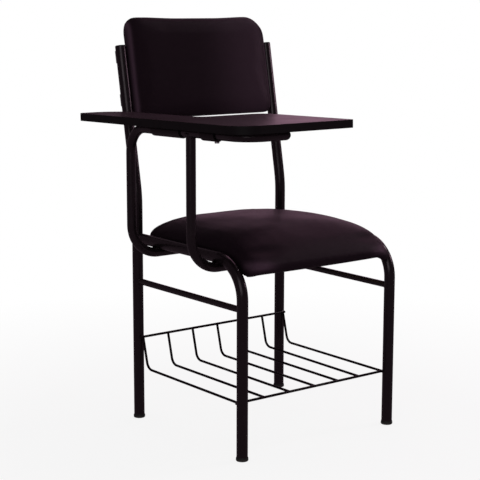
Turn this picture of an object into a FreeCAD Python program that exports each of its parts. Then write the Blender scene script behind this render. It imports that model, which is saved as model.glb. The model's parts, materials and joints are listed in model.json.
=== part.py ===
import FreeCAD, Part
import math
import os
import re
import Sketcher

# Student chair of bent steel tube with a padded seat and back, a writing board on a
# sleeve hinge at the sitter's right, and a wire book rack under the seat.
# The sitter faces -Y and the writing board is on the -X side. Lengths are in millimetres.

SIZES = {
    # Side frames: one tube is front leg and seat rail, the other rear leg and back upright.
    "tube_radius": 11.1,
    "tube_wall": 1.5,
    "frame_half_width": 193.0,
    "leg_half_depth": 178.5,
    "rail_height": 388.5,
    "front_bend": 75.0,
    "lean_start": 478.0,
    "lean": 10.4,
    "lean_bend": 250.0,
    "upright_top": 783.0,
    "brace_radius": 6.35,
    "brace_wall": 1.0,
    "brace_height": 297.0,
    # Feet and the plugs in the upright tops.
    "glide_radius": 12.2,
    "glide_height": 8.0,
    "glide_flange": 5.0,
    "glide_edge": 1.0,
    "stem_length": 16.0,
    "cap_height": 2.2,
    "cap_edge": 1.2,
    # Book rack of round wire.
    "wire_radius": 2.6,
    "rack_floor_height": 111.5,
    "rack_back_height": 178.0,
    "rack_rise": 17.0,
    "rack_bend": 18.0,
    "rack_rail_lap": 5.0,
    # Arm of smaller tube that carries the writing board.
    "arm_radius": 9.5,
    "arm_wall": 1.5,
    "arm_out": 59.0,
    "arm_rear": 109.7,
    "arm_front": 95.2,
    "arm_height": 630.4,
    "arm_rise": 1.05,
    "arm_foot_bend": 62.0,
    "arm_rear_bend": 52.0,
    "arm_front_bend": 42.0,
    "arm_reach": 265.0,
    "arm_return": 90.0,
    "tip_length": 9.5,
    # Sleeves that turn on the arm, and their plates.
    "sleeve_clearance": 0.05,
    "sleeve_wall": 2.95,
    "rear_sleeve_start": 21.5,
    "rear_sleeve_length": 93.5,
    "front_sleeve_start": 139.0,
    "front_sleeve_length": 42.5,
    "plate_thickness": 2.5,
    "plate_width": 46.0,
    "plate_lap": 5.0,
    "plate_corner": 4.0,
    # Writing board.
    "board_thickness": 15.0,
    "band_thickness": 1.2,
    "board_outer": 74.0,
    "board_arm_inner": 26.0,
    "board_inner": 182.0,
    "board_flare": 4.0,
    "board_rear": 186.0,
    "board_step": 86.0,
    "board_front": 342.0,
    "board_rear_corner": 14.0,
    "board_hand_corner": 62.0,
    "board_step_corner": 26.0,
    "board_inner_corner": 28.0,
    "board_front_corner": 44.0,
    "board_sharp_corner": 4.0,
    "bumper_radius": 8.0,
    "rest_gap": 0.3,
    # Screws.
    "screw_radius": 2.2,
    "screw_head_radius": 4.4,
    "screw_head": 2.2,
    "screw_bite": 8.0,
    "stop_head": 2.6,
    # Seat: a bent plywood board under a padded cushion.
    "ply": 10.0,
    "seat_wrap": 15.5,
    "seat_knee_inset": 30.5,
    "seat_knee_bend": 60.0,
    "seat_lip_reach": 36.0,
    "seat_lip_drop": 12.0,
    "seat_screw_inset": 74.0,
    "seat_gap": 0.4,
    "seat_rear_gap": 2.4,
    "seat_overhang": 24.5,
    "seat_crown": 66.5,
    "seat_edge": 22.6,
    "seat_lip": 15.4,
    "seat_corner_draw": 19.0,
    # Back: a plywood panel under a pad, between the uprights.
    "back_rise": 60.0,
    "back_height": 214.0,
    "back_corner": 28.0,
    "back_low_corner": 16.0,
    "back_board_edge": 14.0,
    "back_depth": 24.0,
    "back_waist": 2.0,
    "back_crown_reach": 60.0,
    "back_gap": 0.4,
    "strap_thickness": 3.0,
    "strap_width": 25.0,
    "low_strap_edge": 44.0,
    "high_strap_edge": 80.0,
    "back_screw_inset": 74.0,
    # One length by which every cutting shape overruns.
    "overrun": 5.0,
}

# Where the rack's wires meet its rear and front rails, as shares of the frame's half width.
WIRE_REAR_SHARES = (-0.985, -0.655, -0.320, 0.025, 0.360, 0.680, 1.000)
WIRE_FRONT_SHARES = (-0.995, -0.660, -0.325, 0.020, 0.345, 0.640, 0.985)

# Where the screws lie along each hinge plate.
PLATE_SCREW_SHARES = {"rear": (0.12, 0.50, 0.88), "front": (0.25, 0.75)}

# One section's outline from the rear edge over the crown to the lip, as the ends and middles
# of arcs: share of the rear or, below zero, front reach, and share of the crown or lip height.
SEAT_SIDE_SHARES = (
    (0.970, 0.0), (1.0, 0.30), (0.985, 0.58),
    (0.955, 0.72), (0.818, 0.82),
    (-0.2, 1.0), (-0.419, 0.965),
    (-0.764, 0.66), (-0.975, 0.121),
    (-1.0, -0.30), (-0.951, -1.0),
)

# The cushions' crowns and the arm's tip fall to their edges as a quarter of a superellipse
# of these powers, drawn in equal steps of the quarter.
CIRCLE_POWER = 2.0
SEAT_CROWN_POWER = 2.5
SEAT_CORNER_POWER = 3.0
BACK_CROWN_POWER = 3.5
CROWN_STEPS = 7

# The back pad's sections behind its widest one: place and inset as shares of its depth.
BACK_REAR_SHARES = ((-0.38, 0.26), (-0.20, 0.06))

# The two sleeves and their plates: name, start and length along the arm, forward.
PLATES = (
    ("rear", "-rear_sleeve_start", "rear_sleeve_length"),
    ("front", "front_sleeve_start", "front_sleeve_length"),
)

# Names for places that several pieces share.
FOOT_Z = "glide_height"
CROSS_Z = "rail_height - tube_radius - arm_radius"
CROSS_END = "frame_half_width + tube_radius / 2"
ARM_X = "-frame_half_width - arm_out"
RAIL_Y = "leg_half_depth - tube_radius - wire_radius"
SEAT_Z = "rail_height - tube_radius"
SEAT_HALF = "frame_half_width - tube_radius - seat_gap"
SEAT_REAR = "leg_half_depth - tube_radius - seat_rear_gap"
SEAT_FRONT = "leg_half_depth + seat_overhang"
SEAT_KNEE = "leg_half_depth - seat_knee_inset"
LIP_SLOPE = "atan(seat_lip_drop / seat_lip_reach)"
BACK_TOP = "(upright_top - lean_start) / cos(lean) + back_rise"
BACK_BOTTOM = BACK_TOP + " - back_height"
STRAPS = (("low", BACK_BOTTOM + " + low_strap_edge"), ("high", BACK_TOP + " - high_strap_edge"))
SLEEVE_RADIUS = "arm_radius + sleeve_clearance + sleeve_wall"
BOARD_EDGE = "board_outer + band_thickness"
REAR_REACH = ("leg_half_depth + (%s - back_board_edge) * sin(lean)"
              " + tube_radius * cos(lean)" % BACK_TOP)
FRONT_REACH = ("(board_front + band_thickness) * cos(arm_rise)"
               " - (%s) * sin(arm_rise)" % SLEEVE_RADIUS)

# The part's origin is on the floor under the middle of its overall size.
MID_X = "(arm_out + %s - glide_radius) / 2" % BOARD_EDGE
MID_Y = "((%s) - (%s)) / 2" % (FRONT_REACH, REAR_REACH)

V = FreeCAD.Vector
X, Y, Z = V(1, 0, 0), V(0, 1, 0), V(0, 0, 1)

doc = FreeCAD.newDocument("writing_arm_chair")
sheet = doc.addObject("Spreadsheet::Sheet", "sizes")
for row, (alias, number) in enumerate(SIZES.items(), 1):
    sheet.set("A%d" % row, alias)
    sheet.set("B%d" % row, str(number))
    sheet.setAlias("B%d" % row, alias)
gauge = doc.addObject("App::FeaturePython", "gauge")
gauge.addProperty("App::PropertyFloat", "Reading")
doc.recompute()

pieces = []


def formula(text):
    """The text with every size written as a cell of the sheet."""
    def cell(word):
        return "sizes." + word[0] if word[0] in SIZES else word[0]
    return re.sub(r"[a-z][a-z_]+", cell, text)


def value(text):
    """The number that an expression of sizes comes to."""
    gauge.setExpression("Reading", formula(text))
    gauge.recompute()
    return gauge.Reading


def point(x, y, z):
    return V(value(x), value(y), value(z))


def finish(piece, name, x="0", y="0", z="0", axis=X, angle="0"):
    """Labels a piece and puts it at its place, bound to the sheet. The angle isn't negative."""
    piece.Label = name
    if value(angle) > 0:
        piece.Placement = FreeCAD.Placement(V(), FreeCAD.Rotation(axis, value(angle)))
        piece.setExpression("Placement.Rotation.Angle", formula(angle))
    piece.setExpression("Placement.Base.x", formula("%s + %s" % (x, MID_X)))
    piece.setExpression("Placement.Base.y", formula("%s + %s" % (y, MID_Y)))
    piece.setExpression("Placement.Base.z", formula(z))
    pieces.append(piece)
    return piece


def coded(name, shape, **place):
    """A piece whose shape no feature makes."""
    piece = doc.addObject("Part::Feature", name)
    piece.Shape = shape
    return finish(piece, name, **place)


def new_body(name):
    return doc.addObject("PartDesign::Body", name)


def sketch(body, name, role, lift="0"):
    """An empty sketch on one of the body's own planes, moved along its normal."""
    drawing = body.newObject("Sketcher::SketchObject", body.Name + "_" + name)
    plane = next(item for item in body.Origin.OriginFeatures if item.Role == role)
    drawing.AttachmentSupport = [(plane, "")]
    drawing.MapMode = "FlatFace"
    drawing.setExpression("AttachmentOffset.Base.z", formula(lift))
    return drawing


def hold(drawing, kind, target, text):
    """A dimension of the sketch, bound to the sheet."""
    index = drawing.addConstraint(Sketcher.Constraint(kind, *target, value(text)))
    drawing.setExpression("Constraints[%d]" % index, formula(text))


def pin(drawing, curve, end, x, y):
    hold(drawing, "DistanceX", (-1, 1, curve, end), x)
    hold(drawing, "DistanceY", (-1, 1, curve, end), y)


def circles(drawing, x, y, *radii):
    for radius in radii:
        centre = V(value(x), value(y), 0)
        curve = drawing.addGeometry(Part.Circle(centre, Z, value(radius)))
        pin(drawing, curve, 3, x, y)
        hold(drawing, "Radius", (curve,), radius)


def end_at(drawing, curve, place):
    """Which end of the curve lies at the place."""
    return min((1, 2), key=lambda end: drawing.getPoint(curve, end).distanceToPoint(place))


def turn(before, corner, after, radius):
    """The arc that rounds a corner, by its two ends and its middle."""
    back, on = (before - corner).normalize(), (after - corner).normalize()
    half = back.getAngle(on) / 2
    inward = (back + on).normalize()
    depth = radius / math.sin(half) - radius
    start, stop = corner + back * (radius / math.tan(half)), corner + on * (radius / math.tan(half))
    return start, corner + inward * depth, stop


def route(drawing, corners, closed=False):
    """Lines from corner to corner (x, y, radius), joined by tangent arcs where rounded."""
    spots = [V(value(x), value(y), 0) for x, y, radius in corners]
    count = len(spots)
    ends, arcs = {}, {}
    for index, (x, y, radius) in enumerate(corners):
        ends[index] = (spots[index], spots[index])
        if radius:
            arc = turn(spots[index - 1], spots[index], spots[(index + 1) % count], value(radius))
            arcs[index] = arc
            ends[index] = (arc[0], arc[2])
    lines = {}
    for index in range(count if closed else count - 1):
        follower = (index + 1) % count
        lines[index] = drawing.addGeometry(Part.LineSegment(ends[index][1], ends[follower][0]))
        if follower in arcs:
            arcs[follower] = drawing.addGeometry(Part.Arc(*arcs[follower]))
    for index, (x, y, radius) in enumerate(corners):
        before = lines.get((index - 1) % count)
        after = lines.get(index)
        if radius:
            arc = arcs[index]
            mark = drawing.addGeometry(Part.Point(spots[index]), True)
            drawing.addConstraint([
                Sketcher.Constraint("Tangent", before, 2, arc, end_at(drawing, arc, ends[index][0])),
                Sketcher.Constraint("Tangent", arc, end_at(drawing, arc, ends[index][1]), after, 1),
                Sketcher.Constraint("PointOnObject", mark, 1, before),
                Sketcher.Constraint("PointOnObject", mark, 1, after),
            ])
            hold(drawing, "Radius", (arc,), radius)
            pin(drawing, mark, 1, x, y)
        elif before is not None and after is not None:
            drawing.addConstraint(Sketcher.Constraint("Coincident", before, 2, after, 1))
            pin(drawing, after, 1, x, y)
        elif after is not None:
            pin(drawing, after, 1, x, y)
        else:
            pin(drawing, before, 2, x, y)


def pad(body, drawing, length, both_ways=False):
    feature = body.newObject("PartDesign::Pad", drawing.Name + "_pad")
    feature.Profile = drawing
    feature.Midplane = both_ways
    feature.setExpression("Length", formula(length))
    doc.recompute()
    return feature


def pocket(body, drawing, length=None, both_ways=True):
    """Cuts the sketch through the body, both ways from its plane or against its normal."""
    before = body.Shape.Volume
    feature = body.newObject("PartDesign::Pocket", drawing.Name + "_cut")
    feature.Profile = drawing
    feature.Midplane = both_ways
    if length:
        feature.setExpression("Length", formula(length))
    else:
        feature.Type = "ThroughAll"
    doc.recompute()
    if not feature.Shape.Volume < before:
        raise ValueError("nothing was cut by " + drawing.Name)
    return feature


def pipe(body, profile, path):
    """Sweeps the profile along every line and arc of the path."""
    feature = body.newObject("PartDesign::AdditivePipe", body.Name + "_pipe")
    feature.Profile = profile
    drawn = sum(1 for curve in path.Geometry if not isinstance(curve, Part.Point))
    feature.Spine = (path, ["Edge%d" % (number + 1) for number in range(drawn)])
    doc.recompute()
    return feature


def revolve(body, outline):
    """Turns a closed half outline (radius, height) about the body's Z axis."""
    drawing = sketch(body, "outline", "XZ_Plane")
    route(drawing, [(x, y, None) for x, y in outline], closed=True)
    feature = body.newObject("PartDesign::Revolution", body.Name + "_turned")
    feature.Profile = drawing
    feature.ReferenceAxis = (drawing, ["V_Axis"])
    doc.recompute()
    return feature


def front_leg(side, across):
    """Front leg that bends back into the seat rail and meets the rear leg."""
    body = new_body("front_leg_" + side)
    path = sketch(body, "path", "YZ_Plane", across)
    route(path, [("-leg_half_depth", FOOT_Z, None), ("-leg_half_depth", "rail_height", "front_bend"),
                 ("leg_half_depth - tube_radius / 4", "rail_height", None)])
    ring = sketch(body, "ring", "XY_Plane", FOOT_Z)
    circles(ring, across, "-leg_half_depth", "tube_radius", "tube_radius - tube_wall")
    pipe(body, ring, path)
    cope = sketch(body, "cope", "XY_Plane", "rail_height")
    circles(cope, across, "leg_half_depth", "tube_radius")
    pocket(body, cope, "4 * tube_radius")
    finish(body, "front_leg_" + side)


def rear_leg(side, across):
    """Rear leg that leans back above the seat to hold the back pad."""
    body = new_body("rear_leg_" + side)
    path = sketch(body, "path", "YZ_Plane", across)
    route(path, [("leg_half_depth", FOOT_Z, None), ("leg_half_depth", "lean_start", "lean_bend"),
                 ("leg_half_depth + (upright_top - lean_start) * tan(lean)", "upright_top", None)])
    ring = sketch(body, "ring", "XY_Plane", FOOT_Z)
    circles(ring, across, "leg_half_depth", "tube_radius", "tube_radius - tube_wall")
    pipe(body, ring, path)
    finish(body, "rear_leg_" + side)


def side_brace(side, across):
    """Thin tube between the legs of one side, coped to both."""
    body = new_body("side_brace_" + side)
    ring = sketch(body, "ring", "XZ_Plane")
    circles(ring, across, "brace_height", "brace_radius", "brace_radius - brace_wall")
    pad(body, ring, "2 * leg_half_depth", both_ways=True)
    for end, place in (("front", "-leg_half_depth"), ("rear", "leg_half_depth")):
        cope = sketch(body, end + "_cope", "XY_Plane", "brace_height")
        circles(cope, across, place, "tube_radius")
        pocket(body, cope, "4 * brace_radius")
    finish(body, "side_brace_" + side)


def foot_glide(corner, across, along):
    """Moulded foot with a stem up the leg and a flared flange on the floor."""
    body = new_body("foot_glide_" + corner)
    bore = "tube_radius - tube_wall"
    revolve(body, [("0", "0"), ("glide_radius - glide_edge", "0"), ("glide_radius", "glide_edge"),
                   ("glide_radius", "glide_flange"), ("tube_radius", FOOT_Z), (bore, FOOT_Z),
                   (bore, FOOT_Z + " + stem_length"), ("0", FOOT_Z + " + stem_length")])
    finish(body, "foot_glide_" + corner, x=across, y=along)


def upright_plug(side, across):
    """Plug that closes the top of an upright."""
    body = new_body("upright_plug_" + side)
    bore = "tube_radius - tube_wall"
    revolve(body, [("0", "-stem_length"), (bore, "-stem_length"), (bore, "0"), ("tube_radius", "0"),
                   ("tube_radius", "cap_height - cap_edge"), ("tube_radius - cap_edge", "cap_height"),
                   ("0", "cap_height")])
    finish(body, "upright_plug_" + side, x=across,
           y="leg_half_depth + (upright_top - lean_start) * tan(lean)", z="upright_top",
           axis=-X, angle="lean")


def rack_rail(name, along, height):
    body = new_body(name)
    rod = sketch(body, "rod", "YZ_Plane")
    circles(rod, along, height, "wire_radius")
    pad(body, rod, "2 * (frame_half_width + rack_rail_lap)", both_ways=True)
    finish(body, name)


def rack_wire(number, rear_share, front_share):
    """Bent wire of the rack, from under the rear rail down and forward to the front rail."""
    body = new_body("rack_wire_%d" % number)
    middle_share = (rear_share + front_share) / 2
    skew_share = (rear_share - front_share) / 2
    skew = "atan(frame_half_width * %g / (%s))" % (abs(skew_share), RAIL_Y)
    reach = "(%s) / cos(%s)" % (RAIL_Y, skew)
    path = sketch(body, "path", "YZ_Plane")
    route(path, [("-%s + wire_radius / 2" % reach, "rack_floor_height", None),
                 (reach + " - rack_rise", "rack_floor_height", "rack_bend"),
                 (reach, "rack_back_height - wire_radius / 2", None)])
    rod = sketch(body, "rod", "XZ_Plane", reach + " - wire_radius / 2")
    circles(rod, "0", "rack_floor_height", "wire_radius")
    pipe(body, rod, path)
    for end, along, height in (("front", "-" + reach, "rack_floor_height"),
                               ("rear", reach, "rack_back_height")):
        cope = sketch(body, end + "_cope", "YZ_Plane")
        circles(cope, along, height, "wire_radius")
        pocket(body, cope, "4 * wire_radius")
    finish(body, "rack_wire_%d" % number, x="frame_half_width * %g" % middle_share,
           axis=-Z if skew_share > 0 else Z, angle=skew)


def arm_run_height(along):
    """Height of the sloping run's axis at a place along the chair."""
    return "arm_height - (%s) * tan(arm_rise)" % along


def bent_line(spots, radii):
    """One wire of straight runs joined by tangent arcs."""
    edges = []
    start = spots[0]
    for index in range(1, len(spots) - 1):
        arc = turn(spots[index - 1], spots[index], spots[index + 1], radii[index - 1])
        edges.append(Part.makeLine(start, arc[0]))
        edges.append(Part.Arc(*arc).toShape())
        start = arc[2]
    edges.append(Part.makeLine(start, spots[-1]))
    return Part.Wire(edges)


def seat_screw_places(along):
    across = "(%s - seat_screw_inset)" % SEAT_HALF
    return [("-" + across, along), (across, along)]


def seat_screw_holes(along):
    """Cutting rods where the seat screws pass a cross tube."""
    rods = []
    for x, y in seat_screw_places(along):
        foot = point(x, y, CROSS_Z + " - arm_radius - overrun")
        rods.append(Part.makeCylinder(value("screw_radius"), value("2 * arm_radius + 2 * overrun"), foot))
    return rods


def arm_tube():
    """Tube that crosses under the seat, rises, runs forward under the board and turns in."""
    reach = "-arm_reach"
    spots = [
        point(CROSS_END, "arm_rear", CROSS_Z),
        point(ARM_X, "arm_rear", CROSS_Z),
        point(ARM_X, "arm_rear", arm_run_height("arm_rear")),
        point(ARM_X, reach, arm_run_height(reach)),
        point(ARM_X + " + arm_return", reach, arm_run_height(reach)),
    ]
    line = bent_line(spots, [value("arm_foot_bend"), value("arm_rear_bend"), value("arm_front_bend")])
    solids = []
    for radius in ("arm_radius", "arm_radius - arm_wall"):
        ring = Part.Wire([Part.makeCircle(value(radius), spots[0], -X)])
        solids.append(line.makePipeShell([ring], True, False))
    tube = solids[0].cut(solids[1])
    coded("arm_tube", tube.cut(seat_screw_holes("arm_rear")))


def arm_post():
    """Front post of the arm: it crosses under the seat and is coped to the run above."""
    body = new_body("arm_post")
    place = "-arm_front"
    path = sketch(body, "path", "XZ_Plane", "arm_front")
    route(path, [(CROSS_END, CROSS_Z, None), (ARM_X, CROSS_Z, "arm_foot_bend"),
                 (ARM_X, arm_run_height(place) + " - arm_radius / 4", None)])
    ring = sketch(body, "ring", "YZ_Plane", CROSS_END)
    circles(ring, place, CROSS_Z, "arm_radius", "arm_radius - arm_wall")
    pipe(body, ring, path)
    cope = sketch(body, "cope", "XZ_Plane", "arm_front")
    cope.AttachmentOffset = FreeCAD.Placement(V(), FreeCAD.Rotation(-X, value("arm_rise")))
    cope.setExpression("AttachmentOffset.Rotation.Angle", formula("arm_rise"))
    cope.setExpression("AttachmentOffset.Base.y", formula(arm_run_height(place)))
    circles(cope, ARM_X, "0", "arm_radius")
    pocket(body, cope, "4 * arm_radius")
    holes = sketch(body, "screw_holes", "XY_Plane", CROSS_Z)
    for x, y in seat_screw_places(place):
        circles(holes, x, y, "screw_radius")
    pocket(body, holes, "4 * arm_radius")
    finish(body, "arm_post")


def arm_tip():
    """Domed plug in the open end of the arm."""
    body = new_body("arm_tip")
    bore = "arm_radius - arm_wall"
    dome = [("arm_radius * %.4f" % reach, "tip_length * %.4f" % rise)
            for reach, rise in reversed(crown_steps(CIRCLE_POWER))]
    revolve(body, [("0", "-stem_length"), (bore, "-stem_length"), (bore, "0")] + dome)
    finish(body, "arm_tip", x=ARM_X + " + arm_return", y="-arm_reach",
           z=arm_run_height("-arm_reach"), axis=Y, angle="90")


def on_arm(piece, name):
    """Puts a piece drawn about the hinge axis, with Y along the run, in its place."""
    return finish(piece, name, x=ARM_X, z="arm_height", axis=-X, angle="arm_rise")


def hinge_sleeve(which, start, length):
    """Sleeve that turns on the arm."""
    body = new_body("hinge_sleeve_" + which)
    ring = sketch(body, "ring", "XZ_Plane", start)
    circles(ring, "0", "0", SLEEVE_RADIUS, "arm_radius + sleeve_clearance")
    pad(body, ring, length)
    on_arm(body, "hinge_sleeve_" + which)


def plate_screw_places(which, start, length):
    """Screw centres along a hinge plate."""
    across = "-plate_lap - plate_width * 3 / 5"
    return [(across, "-(%s) - %s * %g" % (start, length, share)) for share in PLATE_SCREW_SHARES[which]]


def hinge_plate(which, start, length):
    """Plate welded to a sleeve and screwed up into the board."""
    body = new_body("hinge_plate_" + which)
    drawing = sketch(body, "outline", "XY_Plane", SLEEVE_RADIUS + " - plate_thickness")
    near, far = "-plate_lap", "-plate_lap - plate_width"
    first, last = "-(%s)" % start, "-(%s) - %s" % (start, length)
    route(drawing, [(near, first, None), (near, last, None), (far, last, "plate_corner"),
                    (far, first, "plate_corner")], closed=True)
    pad(body, drawing, "plate_thickness")
    seat = sketch(body, "seat", "XZ_Plane", start)
    circles(seat, "0", "0", SLEEVE_RADIUS)
    pocket(body, seat)
    holes = sketch(body, "holes", "XY_Plane", SLEEVE_RADIUS)
    for x, y in plate_screw_places(which, start, length):
        circles(holes, x, y, "screw_radius")
    pocket(body, holes)
    on_arm(body, "hinge_plate_" + which)


def board_corners(grow="0"):
    """Outline of the writing board about the hinge axis: narrow arm, then wide rest."""
    outer, inner = "-board_outer - %s" % grow, "board_arm_inner + %s" % grow
    return [
        (outer, "board_rear + %s" % grow, "board_rear_corner + %s" % grow),
        (inner, "board_rear + %s" % grow, "board_hand_corner + %s" % grow),
        (inner, "-board_step + %s" % grow, "board_step_corner - %s" % grow),
        ("board_inner + %s" % grow, "-board_step + %s" % grow, "board_inner_corner + %s" % grow),
        ("board_inner + board_flare + %s" % grow, "-board_front - %s" % grow,
         "board_sharp_corner + %s" % grow),
        (outer, "-board_front - %s" % grow, "board_front_corner + %s" % grow),
    ]


def tablet_board():
    body = new_body("tablet_board")
    outline = sketch(body, "outline", "XY_Plane", SLEEVE_RADIUS)
    route(outline, board_corners(), closed=True)
    pad(body, outline, "board_thickness")
    holes = sketch(body, "holes", "XY_Plane", SLEEVE_RADIUS)
    for plate in PLATES:
        for x, y in plate_screw_places(*plate):
            circles(holes, x, y, "screw_radius")
    pocket(body, holes, "2 * screw_bite")
    on_arm(body, "tablet_board")


def edge_band():
    """Band round the board's whole edge."""
    body = new_body("tablet_edge_band")
    outline = sketch(body, "outline", "XY_Plane", SLEEVE_RADIUS)
    route(outline, board_corners("band_thickness"), closed=True)
    pad(body, outline, "board_thickness")
    inside = sketch(body, "inside", "XY_Plane", SLEEVE_RADIUS)
    route(inside, board_corners(), closed=True)
    pocket(body, inside)
    on_arm(body, "tablet_edge_band")


def screws(name, places, seat, bite, head="screw_head", **place):
    """A group of screws that point up the Z axis, with their heads under the seat face."""
    solids = []
    for x, y in places:
        foot = point(x, y, "%s - %s" % (seat, head))
        crown = value("screw_head_radius - %s / 2" % head)
        cap = Part.makeCone(crown, value("screw_head_radius"), value(head), foot)
        rod = Part.makeCylinder(value("screw_radius"), value("%s + %s" % (head, bite)), foot)
        solids.append(cap.fuse(rod).removeSplitter())
    return coded(name, Part.makeCompound(solids), **place)


def tablet_screws():
    places = [place for plate in PLATES for place in plate_screw_places(*plate)]
    screws("tablet_screws", places, SLEEVE_RADIUS + " - plate_thickness", "plate_thickness + screw_bite",
           x=ARM_X, z="arm_height", axis=-X, angle="arm_rise")


def rest_bumper():
    """Button under the board that comes down on the arm's inward run."""
    body = new_body("rest_bumper")
    disc = sketch(body, "disc", "XY_Plane", "arm_radius + rest_gap")
    circles(disc, "arm_return - 2 * bumper_radius", "-arm_reach / cos(arm_rise)", "bumper_radius")
    pad(body, disc, SLEEVE_RADIUS + " - arm_radius - rest_gap")
    on_arm(body, "rest_bumper")


def stop_bolt():
    """Bolt head under the front sleeve, at its front end."""
    body = new_body("stop_bolt")
    head = sketch(body, "head", "XY_Plane", "-(%s) - stop_head" % SLEEVE_RADIUS)
    circles(head, "0", "-front_sleeve_start - front_sleeve_length + screw_head_radius", "screw_head_radius")
    pad(body, head, "stop_head + sleeve_wall")
    round_seat = sketch(body, "round_seat", "XZ_Plane")
    circles(round_seat, "0", "0", SLEEVE_RADIUS)
    pocket(body, round_seat)
    on_arm(body, "stop_bolt")


def seat_board():
    """Plywood with its front bent down, lying on the two cross tubes."""
    body = new_body("seat_board")
    side = sketch(body, "side", "YZ_Plane")
    knee_shift = "ply * tan(%s / 2)" % LIP_SLOPE
    rear, knee = "%s - seat_wrap" % SEAT_REAR, "-(%s)" % SEAT_KNEE
    lip_y, lip_z = knee + " - seat_lip_reach", SEAT_Z + " - seat_lip_drop"
    route(side, [
        (rear, SEAT_Z, None),
        (knee, SEAT_Z, "seat_knee_bend"),
        (lip_y, lip_z, None),
        (lip_y + " + ply * sin(%s)" % LIP_SLOPE, lip_z + " + ply * cos(%s)" % LIP_SLOPE, None),
        (knee + " + " + knee_shift, SEAT_Z + " + ply", "seat_knee_bend + ply"),
        (rear, SEAT_Z + " + ply", None),
    ], closed=True)
    blank = pad(body, side, "2 * (%s - seat_wrap)" % SEAT_HALF, both_ways=True)
    holes = sketch(body, "holes", "XY_Plane", SEAT_Z)
    for along in ("arm_rear", "-arm_front"):
        for x, y in seat_screw_places(along):
            circles(holes, x, y, "screw_radius")
    pocket(body, holes, "2 * screw_bite")
    finish(body, "seat_board")
    return blank.Shape


def crown_steps(power):
    """Pairs along a quarter superellipse, from its middle (0, 1) to its edge (1, 0)."""
    turns = [math.pi / 2 * step / CROWN_STEPS for step in range(CROWN_STEPS + 1)]
    return [(math.sin(turn) ** (2 / power), max(math.cos(turn), 0) ** (2 / power)) for turn in turns]


def seat_section(side, across_share, crown_share):
    """One closed side view of the cushion: crown, rounded rear, front roll and lip."""
    across = value(SEAT_HALF) * across_share * side
    edge, lip, base = value("seat_edge"), value("seat_lip"), value(SEAT_Z)
    crown = edge + (value("seat_crown") - edge) * crown_share
    fullness_share = (1 - across_share ** SEAT_CORNER_POWER) ** (1 / SEAT_CORNER_POWER)
    draw = value("seat_corner_draw") * (1 - fullness_share)
    rear, front = value(SEAT_REAR) - draw / 2, value(SEAT_FRONT) - draw
    marks = []
    for along, up in SEAT_SIDE_SHARES:
        reach = rear if along > 0 else front
        height = crown if up > 0 else lip
        marks.append(V(across, along * reach, base + up * height))
    edges = [Part.Arc(*marks[start:start + 3]).toShape() for start in range(0, len(marks) - 1, 2)]
    knee = V(across, -value(SEAT_KNEE), base)
    edges.append(Part.makeLine(marks[-1], knee))
    edges.append(Part.makeLine(knee, marks[0]))
    return Part.Wire(edges)


def seat_pad(board):
    """Crowned cushion between the rails, wrapped round the edges of its board."""
    steps = crown_steps(SEAT_CROWN_POWER)
    left = [seat_section(-1, across, crown) for across, crown in reversed(steps[1:])]
    right = [seat_section(1, across, crown) for across, crown in steps]
    cushion = Part.makeLoft(left + right, True, True)
    below = point("0", "-overrun * sin(%s)" % LIP_SLOPE, "-overrun * cos(%s)" % LIP_SLOPE)
    cutter = board.fuse(board.translated(below)).removeSplitter()
    coded("seat_pad", cushion.cut(cutter))


def on_back(piece, name):
    """Puts a piece drawn in the uprights' leaning plane, with Z up the slope, in its place."""
    return finish(piece, name, y="leg_half_depth", z="lean_start", axis=-X, angle="lean")


def panel_corners(inset):
    """Rounded outline of the back, drawn in by an inset."""
    side = "frame_half_width - tube_radius - back_gap - %s" % inset
    low, high = "%s + %s" % (BACK_BOTTOM, inset), "%s - %s" % (BACK_TOP, inset)
    return [("-(%s)" % side, low, "back_low_corner"), (side, low, "back_low_corner"),
            (side, high, "back_corner"), ("-(%s)" % side, high, "back_corner")]


def back_screw_places():
    across = "(frame_half_width - tube_radius - back_gap - back_screw_inset)"
    return [(x, height) for which, height in STRAPS for x in ("-" + across, across)]


def back_board():
    body = new_body("back_board")
    outline = sketch(body, "outline", "XZ_Plane", "-tube_radius")
    route(outline, panel_corners("back_board_edge"), closed=True)
    pad(body, outline, "ply")
    holes = sketch(body, "holes", "XZ_Plane", "-tube_radius")
    for x, height in back_screw_places():
        circles(holes, x, height, "screw_radius")
    pocket(body, holes, "2 * screw_bite")
    on_back(body, "back_board")


def back_pad():
    """Crowned pad wrapped round the back board, its edges drawn in at front and rear."""
    body = new_body("back_pad")
    stations = [("back_depth * %g" % depth, "back_depth * %g" % inset) for depth, inset in BACK_REAR_SHARES]
    for depth_share, reach_share in crown_steps(BACK_CROWN_POWER):
        stations.append(("back_waist + (back_depth - back_waist) * %.4f" % depth_share,
                         "back_crown_reach * %.4f" % (1 - reach_share)))
    sections = []
    for index, (depth, inset) in enumerate(stations):
        section = sketch(body, "section_%d" % index, "XZ_Plane", depth)
        route(section, panel_corners(inset), closed=True)
        sections.append(section)
    doc.recompute()
    loft = body.newObject("PartDesign::AdditiveLoft", "back_pad_loft")
    loft.Profile = sections[0]
    loft.Sections = sections[1:]
    loft.Ruled = True
    doc.recompute()
    recess = sketch(body, "recess", "XZ_Plane", "ply - tube_radius")
    route(recess, panel_corners("back_board_edge"), closed=True)
    pocket(body, recess, "ply + overrun", both_ways=False)
    on_back(body, "back_pad")


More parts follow.
